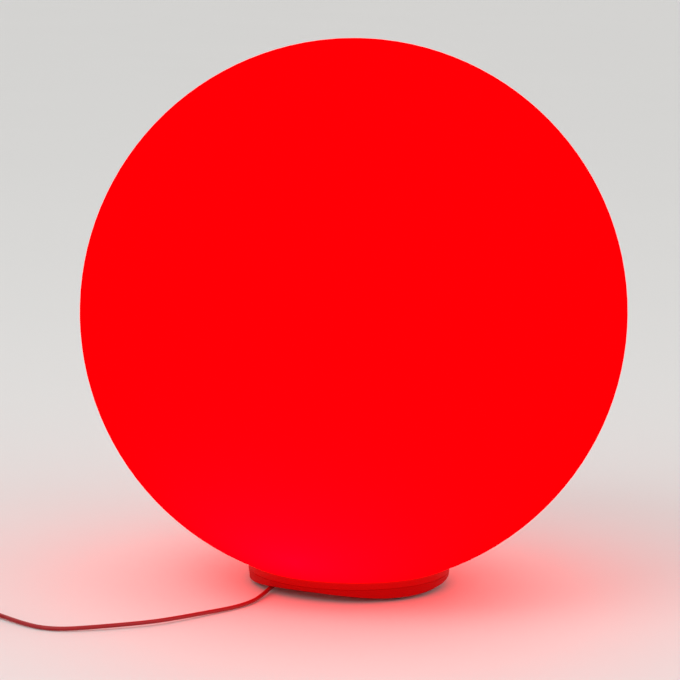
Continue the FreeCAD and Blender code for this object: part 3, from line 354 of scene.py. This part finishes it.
def piece(name, shape, body, finish, replaced, sharp=35.0):
    """A closed mesh from its points and quads that rides on a body and stands for CAD nodes."""
    points, quads = shape
    mesh = bpy.data.meshes.new(name)
    mesh.from_pydata(points.tolist(), [], quads.tolist())
    close_poles(mesh)
    mesh.polygons.foreach_set("use_smooth", np.ones(len(mesh.polygons), bool))
    mesh.set_sharp_from_angle(angle=math.radians(sharp))
    mesh.materials.append(finish)
    item = bpy.data.objects.new(name, mesh)
    bpy.context.scene.collection.objects.link(item)
    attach(item, body)
    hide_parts(*replaced)


def close_poles(mesh):
    """Merge the points that coincide where a shape closes on its own axis."""
    work = bmesh.new()
    work.from_mesh(mesh)
    bmesh.ops.remove_doubles(work, verts=work.verts, dist=1e-6)
    bmesh.ops.dissolve_degenerate(work, edges=work.edges, dist=1e-7)
    work.to_mesh(mesh)
    work.free()


# --- Finishes ----------------------------------------------------------------------------------------

class Finish:
    """A material with its shader, its object coordinates, and short ways to wire what they need."""

    def __init__(self, name):
        self.material = bpy.data.materials.new(name)
        self.material.use_nodes = True
        self.nodes = self.material.node_tree.nodes
        self.links = self.material.node_tree.links
        self.nodes.clear()
        output = self.nodes.new("ShaderNodeOutputMaterial")
        self.shader = self.nodes.new("ShaderNodeBsdfPrincipled")
        self.place = self.nodes.new("ShaderNodeTexCoord").outputs["Object"]
        self.links.new(self.shader.outputs["BSDF"], output.inputs["Surface"])

    def set(self, **values):
        """Set what is the same all over on the shader's own sockets."""
        for name, value in values.items():
            self.shader.inputs[name.replace("_", " ")].default_value = value

    def wire(self, name, source):
        self.links.new(source, self.shader.inputs[name])

    def feed(self, node, socket, value):
        """Give a node's input a link or a plain value."""
        if isinstance(value, bpy.types.NodeSocket):
            self.links.new(value, node.inputs[socket])
        else:
            node.inputs[socket].default_value = value

    def math(self, operation, *values):
        node = self.nodes.new("ShaderNodeMath")
        node.operation = operation
        for index, value in enumerate(values):
            self.feed(node, index, value)
        return node.outputs["Value"]

    def axes(self):
        """The separate X, Y and Z of a point."""
        node = self.nodes.new("ShaderNodeSeparateXYZ")
        self.links.new(self.place, node.inputs["Vector"])
        return node.outputs["X"], node.outputs["Y"], node.outputs["Z"]

    def vector(self, x, y, z):
        node = self.nodes.new("ShaderNodeCombineXYZ")
        for index, value in enumerate((x, y, z)):
            self.feed(node, index, value)
        return node.outputs["Vector"]

    def distance(self, centre):
        node = self.nodes.new("ShaderNodeVectorMath")
        node.operation = "DISTANCE"
        node.inputs[1].default_value = centre
        self.links.new(self.place, node.inputs[0])
        return node.outputs["Value"]

    def noise(self, size, detail=3.0, rough=0.5, place=None):
        """A noise whose grains are about this many metres across."""
        node = self.nodes.new("ShaderNodeTexNoise")
        node.inputs["Scale"].default_value = 1.0 / size
        node.inputs["Detail"].default_value = detail
        node.inputs["Roughness"].default_value = rough
        self.links.new(place or self.place, node.inputs["Vector"])
        return node.outputs["Fac"]

    def cells(self, size):
        """Square cells this many metres across, as the distance from their middles."""
        node = self.nodes.new("ShaderNodeTexVoronoi")
        node.distance = "CHEBYCHEV"
        node.inputs["Scale"].default_value = 1.0 / size
        node.inputs["Randomness"].default_value = 0.6
        self.links.new(self.place, node.inputs["Vector"])
        return node.outputs["Distance"]

    def spread(self, source, low, high, from_low=0.3, from_high=0.7):
        """The source stretched from one range of values to another."""
        node = self.nodes.new("ShaderNodeMapRange")
        for socket, value in zip(("From Min", "From Max", "To Min", "To Max"),
                                 (from_low, from_high, low, high)):
            node.inputs[socket].default_value = value
        self.links.new(source, node.inputs["Value"])
        return node.outputs["Result"]

    def blend(self, factor, first, second):
        """A colour between two, by a factor."""
        node = self.nodes.new("ShaderNodeMix")
        node.data_type = "RGBA"
        self.links.new(factor, node.inputs["Factor"])
        for socket, value in (("A", first), ("B", second)):
            target = next(item for item in node.inputs if item.name == socket and item.type == "RGBA")
            if isinstance(value, bpy.types.NodeSocket):
                self.links.new(value, target)
            else:
                target.default_value = (*value, 1.0)
        return next(item for item in node.outputs if item.type == "RGBA")

    def bump(self, height, depth, under=None):
        """A bump of this depth in metres, on top of another bump if there is one."""
        node = self.nodes.new("ShaderNodeBump")
        node.inputs["Distance"].default_value = depth
        self.links.new(height, node.inputs["Height"])
        if under:
            self.links.new(under, node.inputs["Normal"])
        return node.outputs["Normal"]


def deeper(tone, part, lift=0.0):
    """A colour with each channel times a part, and lifted a little where it bleaches."""
    return tuple(channel * part + lift for channel in tone)


def moulding(name, tone, roughness=0.45, gloss=0.3, grain=0.5 * MM, lit=0.0):
    """Moulded plastic: a fine spark-eroded grain, slow changes of tone where the melt flowed, a polish that
    varies over the surface, and a painted glow, an emission in the glow's colour that stands in for the
    ball's light on the part."""
    made = Finish(name)
    flow = made.noise(18.0 * MM, detail=2.0)
    fine = made.noise(grain, detail=4.0, rough=0.6)
    made.wire("Base Color", made.blend(flow, deeper(tone, 0.92), tuple(tone)))
    made.wire("Roughness", made.spread(fine, roughness - 0.06, roughness + 0.06))
    made.wire("Normal", made.bump(fine, 0.02 * MM))
    # Painted glow: an emission at this strength stands in for the ball's light on the part.
    made.set(Specular_IOR_Level=gloss, Emission_Color=(*settings().finish.glow, 1.0), Emission_Strength=lit)
    return made


def moulded(name, tone, **values):
    return moulding(name, tone, **values).material


def painted_edge_light(name, tone, lit, **values):
    """Moulded plastic right under the ball, with painted light: an emission in the glow's colour stands in
    for the ball's light on it, brighter along the top edge. The factor there rises with the square of the
    height."""
    made = moulding(name, tone, **values)
    near = made.spread(made.axes()[2], 0.0, 1.0, COLLAR_PAINTED_LIGHT_FROM, COLLAR_TOP)
    rise = made.math("MULTIPLY", near, near)
    glow = settings().finish.glow
    made.wire("Emission Color", made.blend(rise, deeper(glow, lit), deeper(glow, lit + COLLAR_PAINTED_EDGE_LIGHT)))
    made.set(Emission_Strength=1.0)
    return made.material


def rubber(name, tone):
    """Dusty rubber: coarse soft grain, and paler bloom in patches."""
    made = Finish(name)
    bloom = made.spread(made.noise(6.0 * MM, detail=4.0, rough=0.6), 0.0, 1.0, 0.45, 0.7)
    grain = made.noise(0.35 * MM, detail=2.0)
    made.wire("Base Color", made.blend(bloom, tuple(tone), deeper(tone, 1.25, lift=0.012)))
    made.wire("Roughness", made.spread(bloom, 0.62, 0.8, 0.0, 1.0))
    made.wire("Normal", made.bump(grain, 0.03 * MM))
    made.set(Specular_IOR_Level=0.3)
    return made.material


def lit_opal(name, look, clouding=0.97):
    """Opal plastic with light behind it: rosier low down near the light unit, where the factor is
    (1 - distance / reach) to a power, even red above, and a faint clouding of its thickness."""
    made = Finish(name)
    near = made.spread(made.distance(GLOW_CENTRE), 1.0, 0.0, 0.0, GLOW_REACH)
    rose = made.math("POWER", near, GLOW_FALL)
    cloud = made.noise(55.0 * MM, detail=2.0)
    glow = made.blend(rose, tuple(look.glow), tuple(look.glow_low))
    dim = made.blend(rose, deeper(look.glow, clouding), deeper(look.glow_low, clouding))
    made.wire("Emission Color", made.blend(made.spread(cloud, 0.0, 1.0), dim, glow))
    fine = made.noise(1.6 * MM)
    # The ball's colour carries that painted red light, clouded a little.
    made.wire("Base Color", made.blend(cloud, deeper(look.ball, 0.94), tuple(look.ball)))
    made.wire("Roughness", made.spread(fine, 0.55, 0.68))
    made.wire("Normal", made.bump(fine, 0.03 * MM))
    made.set(Emission_Strength=look.glow_strength, Specular_IOR_Level=0.0)
    return made.material


def sheathed(name, tone):
    """The lead's extruded sheath: a satin skin with faint slow ripples and fine handling marks."""
    made = Finish(name)
    wear = made.spread(made.noise(9.0 * MM, detail=4.0, rough=0.65), 0.0, 1.0, 0.5, 0.75)
    ripple = made.noise(2.2 * MM, detail=1.0)
    fine = made.noise(0.22 * MM)
    made.wire("Base Color", made.blend(wear, tuple(tone), deeper(tone, 1.15, lift=0.004)))
    made.wire("Roughness", made.spread(fine, 0.34, 0.46))
    made.wire("Normal", made.bump(fine, 0.006 * MM, made.bump(ripple, 0.03 * MM)))
    made.set(Specular_IOR_Level=0.35)
    return made.material


def round_the_lamp(made):
    """How far a point is from the lamp's axis, which turning marks follow."""
    x, y = made.axes()[:2]
    return made.math("SQRT", made.math("ADD", made.math("MULTIPLY", x, x), made.math("MULTIPLY", y, y)))


def bare_metal(name, tone, roughness, mark=0.16 * MM, turned_marks=False):
    """Metal with fine marks: rings about the lamp's axis where it was turned, and a soft haze."""
    made = Finish(name)
    if turned_marks:
        marks = made.noise(mark, detail=2.0, place=made.vector(round_the_lamp(made), 0.0, 0.0))
    else:
        marks = made.noise(mark, detail=4.0, rough=0.6)
    haze = made.noise(5.0 * MM)
    made.wire("Base Color", made.blend(haze, deeper(tone, 0.9), tone))
    made.wire("Roughness", made.spread(marks, roughness - 0.08, roughness + 0.1))
    made.wire("Normal", made.bump(marks, 0.004 * MM))
    made.set(Metallic=1.0)
    return made.material


def solder_mask(name, tone, track):
    """A circuit board: glossy mask over square-cornered copper areas, which show paler and raised."""
    made = Finish(name)
    copper = made.spread(made.cells(7.0 * MM), 0.0, 1.0, 0.36, 0.39)
    weave = made.noise(0.4 * MM, detail=1.0)
    made.wire("Base Color", made.blend(copper, track, tuple(tone)))
    made.wire("Roughness", made.spread(weave, 0.22, 0.34))
    made.wire("Normal", made.bump(copper, -0.03 * MM, made.bump(weave, 0.006 * MM)))
    made.set(Specular_IOR_Level=0.5)
    return made.material


def striped(name, tone, line, pitch):
    """A flat ribbon: parallel cores along it, each a rounded ridge with a dark line between, as the
    sine of Y over the pitch."""
    made = Finish(name)
    wave = made.math("SINE", made.math("MULTIPLY", made.axes()[1], 2 * math.pi / pitch))
    ridge = made.spread(wave, 0.0, 1.0, -1.0, 0.2)
    fine = made.noise(0.3 * MM)
    made.wire("Base Color", made.blend(ridge, line, tone))
    made.wire("Roughness", made.spread(fine, 0.4, 0.52))
    made.wire("Normal", made.bump(ridge, 0.1 * MM))
    made.set(Specular_IOR_Level=0.4)
    return made.material


def resin_lens(name, look):
    """Clear resin over a pale phosphor, lit red: glossy, with a brighter patch where light gathers."""
    made = Finish(name)
    gather = made.noise(2.4 * MM, detail=1.0)
    made.wire("Base Color", made.blend(gather, PHOSPHOR, PHOSPHOR_PALE))
    made.wire("Emission Color", made.blend(gather, deeper(look.glow, 0.7), tuple(look.glow)))
    made.wire("Roughness", made.spread(gather, 0.12, 0.2))
    made.set(Emission_Strength=look.glow_strength, Specular_IOR_Level=0.5)
    return made.material


def board_parts(name):
    """Moulded packages and a sleeved capacitor: dark bodies, with a tinned top on what stands tall."""
    made = Finish(name)
    tall = made.spread(made.axes()[2], 0.0, 1.0, 29.6 * MM, 29.7 * MM)
    grain = made.noise(0.3 * MM)
    dark = made.blend(grain, PACKAGE_DARK, PACKAGE_PALE)
    made.wire("Base Color", made.blend(tall, dark, TINNED))
    made.wire("Metallic", tall)
    made.wire("Roughness", made.spread(grain, 0.35, 0.5))
    made.wire("Normal", made.bump(grain, 0.01 * MM))
    return made.material


def dress(finish, *names):
    """Give CAD nodes a finish in place of their plain one."""
    for name in names:
        slots = NODES[name].data.materials
        slots.clear()
        slots.append(finish)


# --- The stage ---------------------------------------------------------------------------------------

def add_camera(scene, look):
    data = bpy.data.cameras.new("photo_camera")
    data.lens = look.lens
    data.sensor_width = CAMERA_SENSOR
    data.clip_start, data.clip_end = 0.05, 100.0
    item = bpy.data.objects.new("photo_camera", data)
    turn = (Matrix.Rotation(look.heading, 4, "Z") @ Matrix.Rotation(math.pi / 2 - look.pitch, 4, "X")
            @ Matrix.Rotation(look.roll, 4, "Z"))
    item.matrix_world = Matrix.Translation(CAMERA_PLACE) @ turn
    scene.collection.objects.link(item)
    scene.camera = item


def add_floor(scene, look):
    """A wide disc, drawn as rings of points about the lamp."""
    radius = np.array((0.0, 0.5, 1.2, 3.0, 8.0, 30.0))[:, None]
    angle = all_round(96)
    points = np.stack([radius * np.cos(angle), radius * np.sin(angle), 0 * radius * angle], axis=-1)
    mesh = bpy.data.meshes.new("floor")
    mesh.from_pydata(points.reshape(-1, 3).tolist(), [], grid_quads(*points.shape[:2]).tolist())
    close_poles(mesh)
    made = Finish("pale_floor")
    cloud = made.noise(0.4)
    made.wire("Base Color", made.blend(cloud, deeper(look.floor, 0.98), tuple(look.floor)))
    made.set(Roughness=0.6, Specular_IOR_Level=0.25)
    mesh.materials.append(made.material)
    item = bpy.data.objects.new("floor", mesh)
    scene.collection.objects.link(item)


def add_room(scene, look):
    """Soft light from all round, with the pale backdrop where the room is seen, mirrored or passed."""
    world = bpy.data.worlds.new("pale_room")
    world.use_nodes = True
    nodes, links = world.node_tree.nodes, world.node_tree.links
    sky = nodes["Background"]
    sky.inputs["Color"].default_value = (*SKY_TONE, 1.0)
    sky.inputs["Strength"].default_value = look.sky_strength
    seen = nodes.new("ShaderNodeBackground")
    seen.inputs["Color"].default_value = (*look.backdrop, 1.0)
    ray = nodes.new("ShaderNodeLightPath")
    seen_share = ray.outputs["Is Camera Ray"]
    for name in ("Is Glossy Ray", "Is Transmission Ray"):
        either = nodes.new("ShaderNodeMath")
        either.operation = "MAXIMUM"
        links.new(seen_share, either.inputs[0])
        links.new(ray.outputs[name], either.inputs[1])
        seen_share = either.outputs["Value"]
    mix = nodes.new("ShaderNodeMixShader")
    links.new(seen_share, mix.inputs["Fac"])
    links.new(sky.outputs["Background"], mix.inputs[1])
    links.new(seen.outputs["Background"], mix.inputs[2])
    links.new(mix.outputs["Shader"], nodes["World Output"].inputs["Surface"])
    scene.world = world


def add_light(scene, name, power, place, size, aim=(0.0, 0.0, 0.15)):
    """A square soft light that points at the lamp."""
    data = bpy.data.lights.new(name, "AREA")
    data.energy, data.size = power, size
    item = bpy.data.objects.new(name, data)
    item.location = place
    item.rotation_euler = (Vector(aim) - Vector(place)).to_track_quat("-Z", "Y").to_euler()
    scene.collection.objects.link(item)


class GLOBELIGHT_OT_stage(bpy.types.Operator):
    """Set up the camera at the photograph's view, a pale floor and soft lights"""
    bl_idname = "globelight.stage"
    bl_label = "Stage"

    def execute(self, context):
        look = settings().stage
        scene = context.scene
        scene.view_settings.view_transform = "Standard"
        add_camera(scene, look)
        add_floor(scene, look)
        add_room(scene, look)
        add_light(scene, "key_light", look.key_power, place=(-1.5, -1.6, 2.2), size=1.8)
        add_light(scene, "fill_light", look.fill_power, place=(1.9, -1.2, 1.4), size=1.6)
        return {"FINISHED"}


# --- The lead and what is on it ----------------------------------------------------------------------

def boot_point(distance, level=BOOT_LEVEL):
    """A point on the line where the lead leaves, at a distance along it."""
    way, side = level_way(EXIT_HEADING)
    return way * distance - side * EXIT_SIDE + UP * level


def coil_centre():
    """The coil lies to the left of the lead as it arrives."""
    return COIL_START + level_way(COIL_HEADING)[1] * coil_radius(0.0)


def coil_radius(turns):
    """The radius shrinks by the pitch each turn to the middle of the coil, and grows again after it."""
    return COIL_INNER + COIL_PITCH * np.abs(turns - COIL_TURNS / 2)


def coil_points(turns):
    """The coil's line: a circle of that radius, which rises one pitch as it turns back."""
    turns = np.asarray(turns, float)
    part = np.clip((turns - COIL_CLIMB[0]) / (COIL_CLIMB[1] - COIL_CLIMB[0]), 0.0, 1.0)
    lift = COIL_PITCH * eased(part)
    angle = COIL_HEADING - math.pi / 2 + 2 * math.pi * turns
    radius = coil_radius(turns)
    return coil_centre() + np.stack([radius * np.cos(angle), radius * np.sin(angle), lift], axis=-1)


def coil_end():
    """Where the lead leaves the coil's last turn for the plug, and its heading there, as the line from a
    hundredth of a turn before."""
    last, before = coil_points((COIL_TURNS, COIL_TURNS - 0.01))
    heading = math.atan2(*(last - before)[1::-1])
    return last + COIL_STRAIGHT * level_way(heading)[0], heading


class GLOBELIGHT_OT_lead(bpy.types.Operator):
    """Lay the lead over the table and wind up the rest of it"""
    bl_idname = "globelight.lead"
    bl_label = "Lead"

    def execute(self, context):
        lamp = settings()
        coil_begin = COIL_START - level_way(COIL_HEADING)[0] * COIL_STRAIGHT
        turns = coil_points(np.arange(round(COIL_TURNS * COIL_STEPS) + 1) / COIL_STEPS)
        route = np.concatenate([[boot_point(BOOT_TIP)], LEAD_ROUTE, [coil_begin], turns, [coil_end()[0]]])
        curve = bpy.data.curves.new("lead_flex", "CURVE")
        curve.dimensions = "3D"
        spline = curve.splines.new("NURBS")
        spline.points.add(len(route) - 1)
        spline.points.foreach_set("co", np.c_[route, np.ones(len(route))].ravel())
        spline.order_u = 3
        spline.use_endpoint_u = True
        spline.resolution_u = 6
        curve.bevel_depth = lamp.sizes.lead_width / 2
        curve.bevel_resolution = 5
        curve.use_fill_caps = True
        curve.materials.append(sheathed("lead_sheath_finish", lamp.finish.lead))
        item = bpy.data.objects.new("lead_flex", curve)
        context.scene.collection.objects.link(item)
        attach(item, "base")
        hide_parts("lead", "lead_coil")
        return {"FINISHED"}


def boot_nose(sizes):
    """The boot's nose about Z: a cone whose radius dips by the square of a sine at three grooves, and
    whose tip is rounded off. It starts inside the stem."""
    grooves, groove_start, groove_length, groove_depth = 3, 7.0 * MM, 9.0 * MM, 0.45 * MM
    past_tip, tip_draw, tip_shoulder, tip_end = 0.6 * MM, 0.3 * MM, 0.25 * MM, 0.3 * MM
    reach = BOOT_TIP - BOOT_STEM + past_tip
    along = np.linspace(0.0, reach, 91)
    taper = sizes.boot_radius + (sizes.boot_tip - sizes.boot_radius) * along / reach
    radius = taper - groove_depth * rippled((along - groove_start) / groove_length, grooves)
    tip = [(radius[-1] - tip_draw, reach + tip_shoulder), (0.0, reach + tip_end)]
    return turned(np.concatenate([[(0.0, 0.0)], np.c_[radius, along], tip]), 48)


def boot_stem():
    """The boot's upright stem about Z, from its elbow up through the pocket's ceiling, with a collar
    just under that ceiling."""
    elbow, stem, collar = 2.6 * MM, 4.0 * MM, 5.4 * MM
    bottom, shoulder, top = 2.6 * MM, 6.0 * MM, POCKET_CEILING + 4.6 * MM
    collar_bottom, collar_top = POCKET_CEILING - 1.25 * MM, POCKET_CEILING - 0.05 * MM
    outline = [(0.0, bottom), (elbow, bottom), (stem, shoulder), (stem, collar_bottom),
               (collar, collar_bottom), (collar, collar_top), (stem, collar_top), (stem, top), (0.0, top)]
    return turned(rounded(outline, 0.5 * MM, closed=False), 48)


class GLOBELIGHT_OT_boot(bpy.types.Operator):
    """Mould the ribbed boot where the lead leaves the base"""
    bl_idname = "globelight.boot"
    bl_label = "Boot"

    def execute(self, context):
        lamp = settings()
        nose = laid(boot_nose(lamp.sizes), boot_point(BOOT_STEM), EXIT_HEADING)
        points, quads = boot_stem()
        stem = points + boot_point(BOOT_STEM, 0.0), quads
        # The boot takes the lead's painted red light and shade, a little deeper.
        finish = moulded("boot_finish", deeper(lamp.finish.lead, 0.85), roughness=0.55)
        piece("lead_boot_moulding", joined([nose, stem]), "base", finish, ["lead_boot"])
        return {"FINISHED"}


def tie_frame():
    """The middle of the bundle of turns where the tie goes round it, its directions out from the coil's
    centre and along the turns, and half its height and depth."""
    turns = TIE_TURN + np.arange(int(COIL_TURNS))
    out, along_turns = level_way(COIL_HEADING - math.pi / 2 + 2 * math.pi * TIE_TURN)
    radii = coil_radius(turns)
    centre = coil_centre() + out * (radii.min() + radii.max()) / 2 + UP * COIL_PITCH / 2
    return centre, out, along_turns, (radii.max() - radii.min()) / 2, COIL_PITCH / 2


class GLOBELIGHT_OT_tie(bpy.types.Operator):
    """Put a band with a head and a tail round the coil"""
    bl_idname = "globelight.tie"
    bl_label = "Coil Tie"

    def execute(self, context):
        lamp = settings()
        sizes = lamp.sizes
        centre, out, along_turns, half_out, half_up = tie_frame()
        thick, width = sizes.tie_thick, sizes.tie_width
        stand = sizes.lead_width / 2 + TIE_GAP + thick / 2
        reach, rise = half_out + stand, half_up + stand
        flat = rounded(oblong(reach, rise), TIE_BEND, 8)
        path = centre + flat[:, 0:1] * out + flat[:, 1:2] * UP
        band = swept_loop(path, rounded(oblong(thick / 2, width / 2), TIE_EDGE, 3), along_turns)
        top = centre + UP * (rise + thick / 2)
        head_inward, head_sunk, tail_outward, tail_lift = 1.5 * MM, 0.3 * MM, 2.2 * MM, 0.12 * MM
        head = placed(slab(half_long=2.6 * MM, half_wide=3.0 * MM, thick=2.2 * MM, corner=0.8 * MM,
                           bevel=0.35 * MM),
                      top - out * head_inward - UP * head_sunk, out, along_turns, UP)
        tail = placed(slab(half_long=4.2 * MM, half_wide=width / 2 - 0.3 * MM, thick=0.8 * MM,
                           corner=1.2 * MM, bevel=0.2 * MM),
                      top + out * tail_outward + UP * tail_lift, out, along_turns, UP)
        finish = moulded("tie_finish", lamp.finish.tie, roughness=0.42, gloss=0.4, grain=0.4 * MM)
        piece("coil_tie_band", joined([band, head, tail]), "base", finish, ["coil_tie"])
        return {"FINISHED"}


def plug_moulding(sizes):
    """The plug's grip about Z as a radius of length s and angle a. It widens from the lead to the grip
    along a smooth step, has three ring ribs on its relief that are notched on alternate sides, a grip
    flattened by cos 2a, and six finger ridges on each side of it."""
    relief, grip = sizes.plug_relief, sizes.plug_relief + sizes.plug_grip
    sleeve = sizes.lead_width / 2 + 0.8 * MM
    swell_start, swell_length = relief * 0.72, relief * 0.5
    end_length, end_draw = 1.2 * MM, 1.0 * MM
    ribs, rib_start, rib_pitch = 3, relief * 0.24, relief * 0.2
    rib_top, rib_flank, rib_height, rib_growth = 0.25, 0.75 * MM, 0.55 * MM, 0.3 * MM
    notch_slope, notch_floor = 3.0, 0.45
    flattened = 0.06
    ridges, ridge_start, ridge_length, ridge_depth = 6, relief + 4.5 * MM, 12.0 * MM, 0.4 * MM
    side_slope, side_floor = 3.0, 1.9
    s = np.concatenate([np.linspace(0.0, relief, 79), np.linspace(relief, grip, 82)[1:]])[:, None]
    a = all_round(96)[None, :]
    step = np.clip((s - swell_start) / swell_length, 0.0, 1.0)
    end = np.clip((s - (grip - end_length)) / end_length, 0.0, 1.0)
    radius = sleeve + (sizes.plug_radius - sleeve) * eased(step) - end_draw * (1 - np.sqrt(1 - end ** 2))
    radius = radius * (1 + flattened * step * np.cos(2 * a))
    for index in range(ribs):
        off_middle = np.abs(s - rib_start - rib_pitch * index)
        ring = np.clip(1 + rib_top - off_middle / rib_flank, 0.0, 1.0)
        notch = np.clip(np.abs(np.cos(a + index * math.pi / 2)) * notch_slope - notch_floor, 0.0, 1.0)
        radius = radius + ring * notch * (rib_height + rib_growth * index)
    side = np.clip(np.abs(np.sin(a)) * side_slope - side_floor, 0.0, 1.0)
    radius = radius - ridge_depth * side * rippled((s - ridge_start) / ridge_length, ridges)
    rows = np.stack([radius * np.cos(a), radius * np.sin(a), s + 0 * a], axis=-1)
    ends = np.zeros((1, a.size, 3))
    points = np.concatenate([ends, rows, ends + (0.0, 0.0, grip)])
    return outward(points.reshape(-1, 3), grid_quads(len(points), a.size, close_rows=True))


class GLOBELIGHT_OT_plug(bpy.types.Operator):
    """Mould the plug's grip and finish its metal end"""
    bl_idname = "globelight.plug"
    bl_label = "Plug"

    def execute(self, context):
        lamp = settings()
        finish = moulded("plug_finish", lamp.finish.plug, roughness=0.5)
        piece("plug_grip", laid(plug_moulding(lamp.sizes), *coil_end()), "base", finish,
              ["plug_body"], sharp=40.0)
        dress(bare_metal("nickel_finish", NICKEL, roughness=0.2), "plug_barrel")
        dress(moulded("barrel_core_finish", BARREL_CORE, roughness=0.4, gloss=0.4), "plug_core")
        return {"FINISHED"}


# --- The lamp's own pieces ---------------------------------------------------------------------------

class GLOBELIGHT_OT_pads(bpy.types.Operator):
    """Mould the three rubber feet, each with a tread ring round a shallow dish"""
    bl_idname = "globelight.pads"
    bl_label = "Rubber Feet"

    def execute(self, context):
        lamp = settings()
        radius, height = lamp.sizes.pad_radius, lamp.sizes.pad_height
        dish, toe = 0.5 * MM, 0.7 * MM
        dish_edge, tread_inside, tread_outside = radius * 0.5, radius * 0.62, radius * 0.86
        outline = [(0.0, dish), (dish_edge, dish), (tread_inside, 0.0), (tread_outside, 0.0),
                   (radius, toe), (radius, height), (0.0, height)]
        points, quads = turned(rounded(outline, 0.35 * MM, closed=False), 40)
        pads = [(points + level_way(angle)[0] * PAD_CIRCLE, quads)
                for angle in PAD_ANGLE + all_round(PAD_COUNT)]
        piece("rubber_pads", joined(pads), "base", rubber("pad_finish", lamp.finish.pad),
              ["rubber_feet"])
        return {"FINISHED"}


class GLOBELIGHT_OT_ball(bpy.types.Operator):
    """Finish the opal ball with the light behind it"""
    bl_idname = "globelight.ball"
    bl_label = "Ball"

    def execute(self, context):
        dress(lit_opal("lit_opal_finish", settings().finish), "globe_shell")
        return {"FINISHED"}


class GLOBELIGHT_OT_base(bpy.types.Operator):
    """Finish the collar, the foot and the button under it"""
    bl_idname = "globelight.base"
    bl_label = "Base"

    def execute(self, context):
        look = settings().finish
        # The collar and foot carry painted red light and shade in their colours, and a painted glow of the
        # ball's light.
        dress(painted_edge_light("collar_finish", look.collar, look.base_painted_glow, roughness=0.5, gloss=0.05),
              "globe_collar")
        dress(moulded("foot_finish", look.foot, roughness=0.5, gloss=0.05, lit=look.base_painted_glow * FOOT_PAINTED_GLOW_SHARE),
              "base_foot")
        dress(moulded("button_finish", look.button, roughness=0.4, gloss=0.4, grain=0.3 * MM), "mode_button")
        return {"FINISHED"}


class GLOBELIGHT_OT_seals(bpy.types.Operator):
    """Finish the gaskets and seals"""
    bl_idname = "globelight.seals"
    bl_label = "Seals"

    def execute(self, context):
        dress(rubber("seal_finish", settings().finish.rubber),
              "mouth_gasket", "base_seal", "button_seal", "plate_gasket")
        return {"FINISHED"}


class GLOBELIGHT_OT_fixings(bpy.types.Operator):
    """Finish the screws and the rings that they pull down"""
    bl_idname = "globelight.fixings"
    bl_label = "Fixings"

    def execute(self, context):
        look = settings().finish
        dress(bare_metal("zinc_finish", ZINC, roughness=0.32), "collar_screws", "board_screws", "dome_screws")
        dress(moulded("ring_finish", look.moulding, roughness=0.5, grain=0.7 * MM), "clamp_ring", "dome_ring")
        dress(moulded("nut_finish", deeper(look.moulding, 0.95), roughness=0.4, gloss=0.4), "boot_nut")
        return {"FINISHED"}


class GLOBELIGHT_OT_light_unit(bpy.types.Operator):
    """Finish the light sources, their board, their heat plate and their opal cap"""
    bl_idname = "globelight.light_unit"
    bl_label = "Light Unit"

    def execute(self, context):
        look = settings().finish
        dress(resin_lens("lens_finish", look), "leds")
        dress(solder_mask("lamp_board_finish", look.lamp_board, deeper(look.lamp_board, 0.86)), "led_board")
        dress(bare_metal("plate_finish", ALUMINIUM, roughness=0.36, mark=0.25 * MM, turned_marks=True),
              "heat_plate")
        dress(lit_opal("opal_cap_finish", look, clouding=0.9), "diffuser_dome")
        return {"FINISHED"}


class GLOBELIGHT_OT_driver(bpy.types.Operator):
    """Finish the driver board, what stands on it and the wires inside"""
    bl_idname = "globelight.driver"
    bl_label = "Driver"

    def execute(self, context):
        look = settings().finish
        dress(solder_mask("driver_board_finish", look.board, COPPER_TRACK), "driver_board")
        dress(board_parts("board_parts_finish"), "driver_parts")
        dress(moulded("switch_finish", SWITCH_BLACK, gloss=0.4), "tact_switch")
        dress(moulded("connector_finish", CONNECTOR_CREAM, roughness=0.42, gloss=0.4), "wire_connector")
        dress(moulded("core_finish", WIRE_GREY, roughness=0.38, gloss=0.4, grain=0.2 * MM), "lead_cores")
        dress(striped("ribbon_finish", RIBBON_GREY, RIBBON_LINE, pitch=1.4 * MM), "led_wires")
        return {"FINISHED"}


class GLOBELIGHT_PT_lamp(bpy.types.Panel):
    """Lists the lamp's settings and the steps that make it"""
    bl_label = "Globe Light"
    bl_idname = "GLOBELIGHT_PT_lamp"
    bl_space_type = "VIEW_3D"
    bl_region_type = "UI"
    bl_category = "Globe Light"

    def draw(self, context):
        lamp = context.scene.globe_light
        for title, group in (("Finish", lamp.finish), ("Sizes", lamp.sizes), ("Stage", lamp.stage)):
            box = self.layout.box()
            box.label(text=title)
            for name in group.__annotations__:
                box.prop(group, name)
        for step in STEPS:
            self.layout.operator(step.bl_idname)


STEPS = (
    GLOBELIGHT_OT_stage,
    GLOBELIGHT_OT_lead,
    GLOBELIGHT_OT_boot,
    GLOBELIGHT_OT_tie,
    GLOBELIGHT_OT_plug,
    GLOBELIGHT_OT_pads,
    GLOBELIGHT_OT_ball,
    GLOBELIGHT_OT_base,
    GLOBELIGHT_OT_seals,
    GLOBELIGHT_OT_fixings,
    GLOBELIGHT_OT_light_unit,
    GLOBELIGHT_OT_driver,
)

CLASSES = (
    GLOBELIGHT_PG_finish,
    GLOBELIGHT_PG_sizes,
    GLOBELIGHT_PG_stage,
    GLOBELIGHT_PG_lamp,
    *STEPS,
    GLOBELIGHT_PT_lamp,
)


def register():
    for item in CLASSES:
        bpy.utils.register_class(item)
    bpy.types.Scene.globe_light = PointerProperty(type=GLOBELIGHT_PG_lamp)


def unregister():
    del bpy.types.Scene.globe_light
    for item in reversed(CLASSES):
        bpy.utils.unregister_class(item)


def main():
    register()
    for step in STEPS:
        family, name = step.bl_idname.split(".")
        getattr(getattr(bpy.ops, family), name)()


if __name__ == "__main__":
    main()
